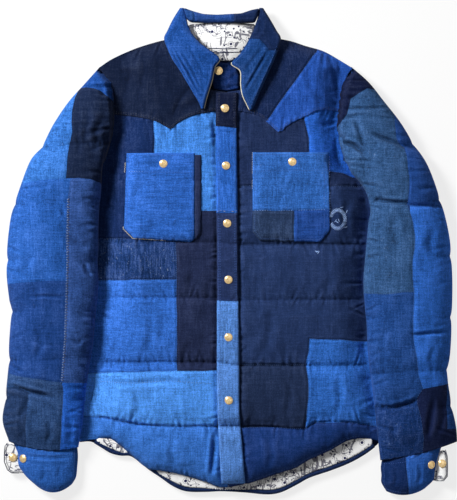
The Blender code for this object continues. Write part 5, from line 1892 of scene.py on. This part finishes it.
def sew_placket(light, dark):
    """Two lines inside each edge of the placket, dark on its dark upper end."""
    for edge, sign in ((placket_right, 1), (placket_left, -1)):
        for distance in (3.2, 5.4):
            for sewing, first, last in ((light, -366, 196), (dark, 199, 250)):
                line = upwards(lambda y: edge(y) + sign * distance, first, last)
                sewing.run(line, placket_top, 3.3)


def sew_pockets(light):
    """A line inside each pocket's edge, below its opening and beside its outer edge."""
    for outline, top, inner_lines in (
        (POCKET_RIGHT, POCKET_RIGHT_TOP, (((-164, 126), (-58, 125)),
                                          ((-161.5, 152), (-163, 90), (-164, 38)))),
        (POCKET_LEFT, POCKET_LEFT_TOP, (((38, 127), (156, 128)),
                                        ((150, 152), (150, 38)))),
    ):
        loop = inset_line(outline, 3.4)
        for line in (np.concatenate((loop, loop[:1])), *inner_lines):
            light.run(line, top, 3.0)


def sew_leaves(light, leaves):
    """A line inside each leaf's edge, from its point up to the shoulder."""
    for leaf in leaves.values():
        loop = inset_line(leaf.outline()[::3], 4.2)
        loop = loop[(loop[:, 1] < 330) & (loop[:, 1] > 232)]
        half = len(loop) // 2
        for part in (loop[:half], loop[half:]):
            light.run(part, leaf.top_at, 3.0)


def topstitching(leaves, tubes, seams):
    """The sewn lines of the garment, and those that hold its patches, by the thread's colour."""
    light, dark, pale, white = (Sewing() for _ in range(4))
    sew_yokes(dark)
    sew_slanted(dark, white, tubes["sleeve_right"][0].top_at)
    sew_placket(light, dark)
    sew_pockets(light)
    sew_leaves(light, leaves)
    for line in hem_lines(4.6):
        light.run(line, body_top, 3.2)
    for node in ("cuff_right", "cuff_left"):
        tube = tubes[node][0]
        for path in cuff_lines(tube):
            light.run(path, tube.top_at, 3.0)
    for patch_seams, top in seams.values():
        for line in patch_seams:
            pale.run(line, top, 3.8, 2.0, 0.5, 0.05, 0.5)
    piece = dark.sew("stitches_dark", thread("thread_dark", "121a33"))
    piece = light.sew("stitches_blue", thread("thread_blue", "24509a"))
    piece = pale.sew("stitches_patches", thread("thread_patch", "35588f"))
    piece = white.sew("stitches_zigzag", thread("thread_grey", "7c92bd"))


def cuff_lines(tube):
    """A cuff's stitching: two lines below its seam, and one inside its other edges."""
    across = np.linspace(0.05, 0.95, 25)
    down = np.linspace(0.55, tube.last - 0.5, 17)
    edge = [(t, 0.05) for t in down] + [(tube.last - 0.35, u) for u in across]
    edge += [(t, 0.95) for t in down[::-1]]
    for path in ([(0.12, u) for u in across], [(0.5, u) for u in across], edge):
        t, u = np.array(path).T
        yield np.stack(tube.flat(t, u), 1)


def mends():
    """Worn edges and hand mending: cream frays, pale flecks, a darned oval and a small darn."""
    fray = Sewing()
    for line in (((-170, 38), (-170, 35), (-155, 20), (-130, 18.6), (-104, 17.2)),
                 ((-167.2, 140), (-168, 126))):
        fray.run(line, body_top, 1.9, 2.6, 0.9, 1.5, 0.6)
    for line in (((35.6, 156), (35.4, 124)), ((35.6, 112), (35.4, 100))):
        fray.run(line, body_top, 2.6, 1.9, 0.7, 0.4, 0.6)
    for x, y in ((-19, 63.5), (-15, 64.2), (-9, 63.4), (-3, 64.3), (4, 63.2), (9, 64.0)):
        fray.fleck(x, y, 0, 1.0, placket_top, 1.4, 0.9, 0.15, 0.5)
    piece = fray.sew("frayed_edges", thread("thread_cream", "c4beb0"))
    ring = Sewing()
    for line in (((158.2, 150), (158.4, 118)), ((158.8, 92), (158.8, 46)),
                 ((40, 64.4), (64, 64.6)), ((78, 64.4), (98, 64.6)), ((110, 65), (150, 65.6)),
                 ((-160, 126.6), (-140, 126.2))):
        top = POCKET_LEFT_TOP if line[0][0] > 0 else POCKET_RIGHT_TOP
        ring.run(line, top, 4.2, 1.6, 0.5, 0.15, 0.6)
    for layer, (wide, high, length) in enumerate(((12.5, 15.5, 2.6), (10.4, 13.2, 2.2))):
        angles = np.radians(np.arange(-150, 165, 9 + 3 * layer))
        for a in angles:
            x = 171.5 + wide * np.cos(a)
            y = 50.5 + high * np.sin(a)
            ring.fleck(x, y, a + 0.5, length / 2, body_top, length, 0.8, 0.35)
    for x, y, turn in ((168, 48, 0.9), (170.5, 46, -0.5), (173, 49, 1.9), (184.5, 38, 0.3),
                       (186, 63, 1.3), (178, 69.5, 0.2), (139, -1, 0.4), (141, -2.2, 0.9),
                       (137.6, -0.4, -0.2)):
        ring.fleck(x, y, turn, 1.3, body_top, 2.6, 0.9, 0.35)
    piece = ring.sew("mending", thread("thread_sky", "9dbdf0"))


def facing_edges():
    """The cuffs' facings: a dark edge around each, and stitches inside it."""
    lines = Sewing()
    for outline in (FACING_RIGHT, FACING_LEFT):
        points = np.asarray(outline, float)
        inward = np.array((math.copysign(330.0, points[0, 0]), -338.0)) - points
        inward /= np.hypot(*inward.T)[:, None]
        lines.run(points + inward * 3.6, facing_top, 2.0, 2.3, 0.7, 0.1)
        rim = np.column_stack((points + inward * 0.2, facing_top(*points.T)))
        piece = swept("facing_edge_" + ("right" if points[0, 0] < 0 else "left"), rim, 1.1, 1.0,
                      thread("thread_ink", "20263c"))
    piece = lines.sew("stitches_facing", thread("thread_dusk", "4a4f60"))


def facing_top(x, _):
    """Height of the sewing on the cuffs' facings."""
    return FACING_TOP + 0.6 + facing_rise(x)


def hem_lines(distance):
    """The fronts' hem stitching, in the stretches beside the placket."""
    return (along(lambda x: hem_front(x) + distance, -205, -24),
            along(lambda x: hem_front(x) + distance, 30, 205))


# ------------------------------------------------------------------ stage, light and camera
# in metres and watts
ROOM_LIGHT = 0.09         # strength of the white room as a light; seen or mirrored, it is full
FLOOR_REACH = 4
FLOOR_BELOW = 0.0005      # how far the floor lies below the jacket
FLOOR_WHITE = (0.85, 0.85, 0.85, 1)
FLOOR_GLOW = 0.78         # share of even white in the floor as the camera sees it
KEY = ((-1.75, 1.3, 1.5), 0.7, 118)     # place, size and power of the lamps
FILL = ((0.9, 0.4, 2.6), 1.8, 9)
CAMERA_HEIGHT = 4.45
CAMERA_LENS = 200         # mm, on a sensor 36 mm wide
CAMERA_ASIDE = (-2.4, 1.6)              # mm, from the zero of the tables


def floor():
    """A white floor that takes shadows, and looks even and bright to the camera."""
    reach = FLOOR_REACH
    corners = [(-reach, -reach, 0), (reach, -reach, 0), (reach, reach, 0), (-reach, reach, 0)]
    mesh = bpy.data.meshes.new("floor")
    mesh.from_pydata(corners, [], [(0, 1, 2, 3)])
    plane = bpy.data.objects.new("floor", mesh)
    bpy.context.collection.objects.link(plane)
    plane.location.z = -FLOOR_BELOW
    paint = bpy.data.materials.new("floor_white")
    paint.use_nodes = True
    tree = paint.node_tree
    diffuse = tree.nodes["Principled BSDF"]
    diffuse.inputs["Base Color"].default_value = FLOOR_WHITE
    diffuse.inputs["Roughness"].default_value = 1.0
    diffuse.inputs["Specular IOR Level"].default_value = 0.0
    glow = tree.nodes.new("ShaderNodeEmission")
    ray = tree.nodes.new("ShaderNodeLightPath")
    share = tree.nodes.new("ShaderNodeMath")
    share.operation = "MULTIPLY"
    share.inputs[1].default_value = FLOOR_GLOW
    tree.links.new(ray.outputs["Is Camera Ray"], share.inputs[0])
    blend = tree.nodes.new("ShaderNodeMixShader")
    tree.links.new(share.outputs[0], blend.inputs[0])
    tree.links.new(diffuse.outputs[0], blend.inputs[1])
    tree.links.new(glow.outputs[0], blend.inputs[2])
    tree.links.new(blend.outputs[0], tree.nodes["Material Output"].inputs["Surface"])
    mesh.materials.append(paint)


def lamp(name, location, size, power):
    """A square lamp aimed at the jacket's middle."""
    light = bpy.data.lights.new(name, "AREA")
    light.size = size
    light.energy = power
    thing = bpy.data.objects.new(name, light)
    bpy.context.collection.objects.link(thing)
    thing.location = location
    thing.rotation_euler = (-Vector(location)).to_track_quat("-Z", "Y").to_euler()


def lights():
    """A soft key from past the right shoulder, a weak fill, and a white room for the metal."""
    lamp("key", *KEY)
    lamp("fill", *FILL)
    world = bpy.data.worlds.new("studio")
    world.use_nodes = True
    tree = world.node_tree
    background = tree.nodes["Background"]
    background.inputs["Color"].default_value = (1, 1, 1, 1)
    ray = tree.nodes.new("ShaderNodeLightPath")
    strength = ROOM_LIGHT
    for output in ("Is Camera Ray", "Is Glossy Ray", "Is Transmission Ray"):
        node = tree.nodes.new("ShaderNodeMath")
        node.operation = "MAXIMUM"
        tree.links.new(ray.outputs[output], node.inputs[0])
        if isinstance(strength, float):
            node.inputs[1].default_value = strength
        else:
            tree.links.new(strength, node.inputs[1])
        strength = node.outputs[0]
    tree.links.new(strength, background.inputs["Strength"])
    bpy.context.scene.world = world


def camera():
    """A long lens straight above."""
    data = bpy.data.cameras.new("camera")
    data.lens = CAMERA_LENS
    data.sensor_width = 36
    data.clip_end = 50
    eye = bpy.data.objects.new("camera", data)
    bpy.context.collection.objects.link(eye)
    eye.location = (*(MM * (s + aside) for s, aside in zip(shift, CAMERA_ASIDE)), CAMERA_HEIGHT)
    bpy.context.scene.camera = eye
    bpy.context.scene.view_settings.view_transform = "Standard"


def main():
    floor()
    lights()
    camera()
    seams = {}
    for name, lines in body().items():
        seams[name] = (lines, yoke_top if name.startswith("yoke") else body_top)
    tubes = sleeves()
    for name, (tube, lines) in tubes.items():
        upper = [tube.seen_from_above(line) for line in lines if line[:, 1].max() < tube.HALF]
        seams[name] = (upper, tube.top_at)
    laid_pieces()
    leaves = collar()
    back()
    linings()
    snaps(tubes)
    edges(leaves)
    topstitching(leaves, tubes, seams)
    mends()
    facing_edges()


main()
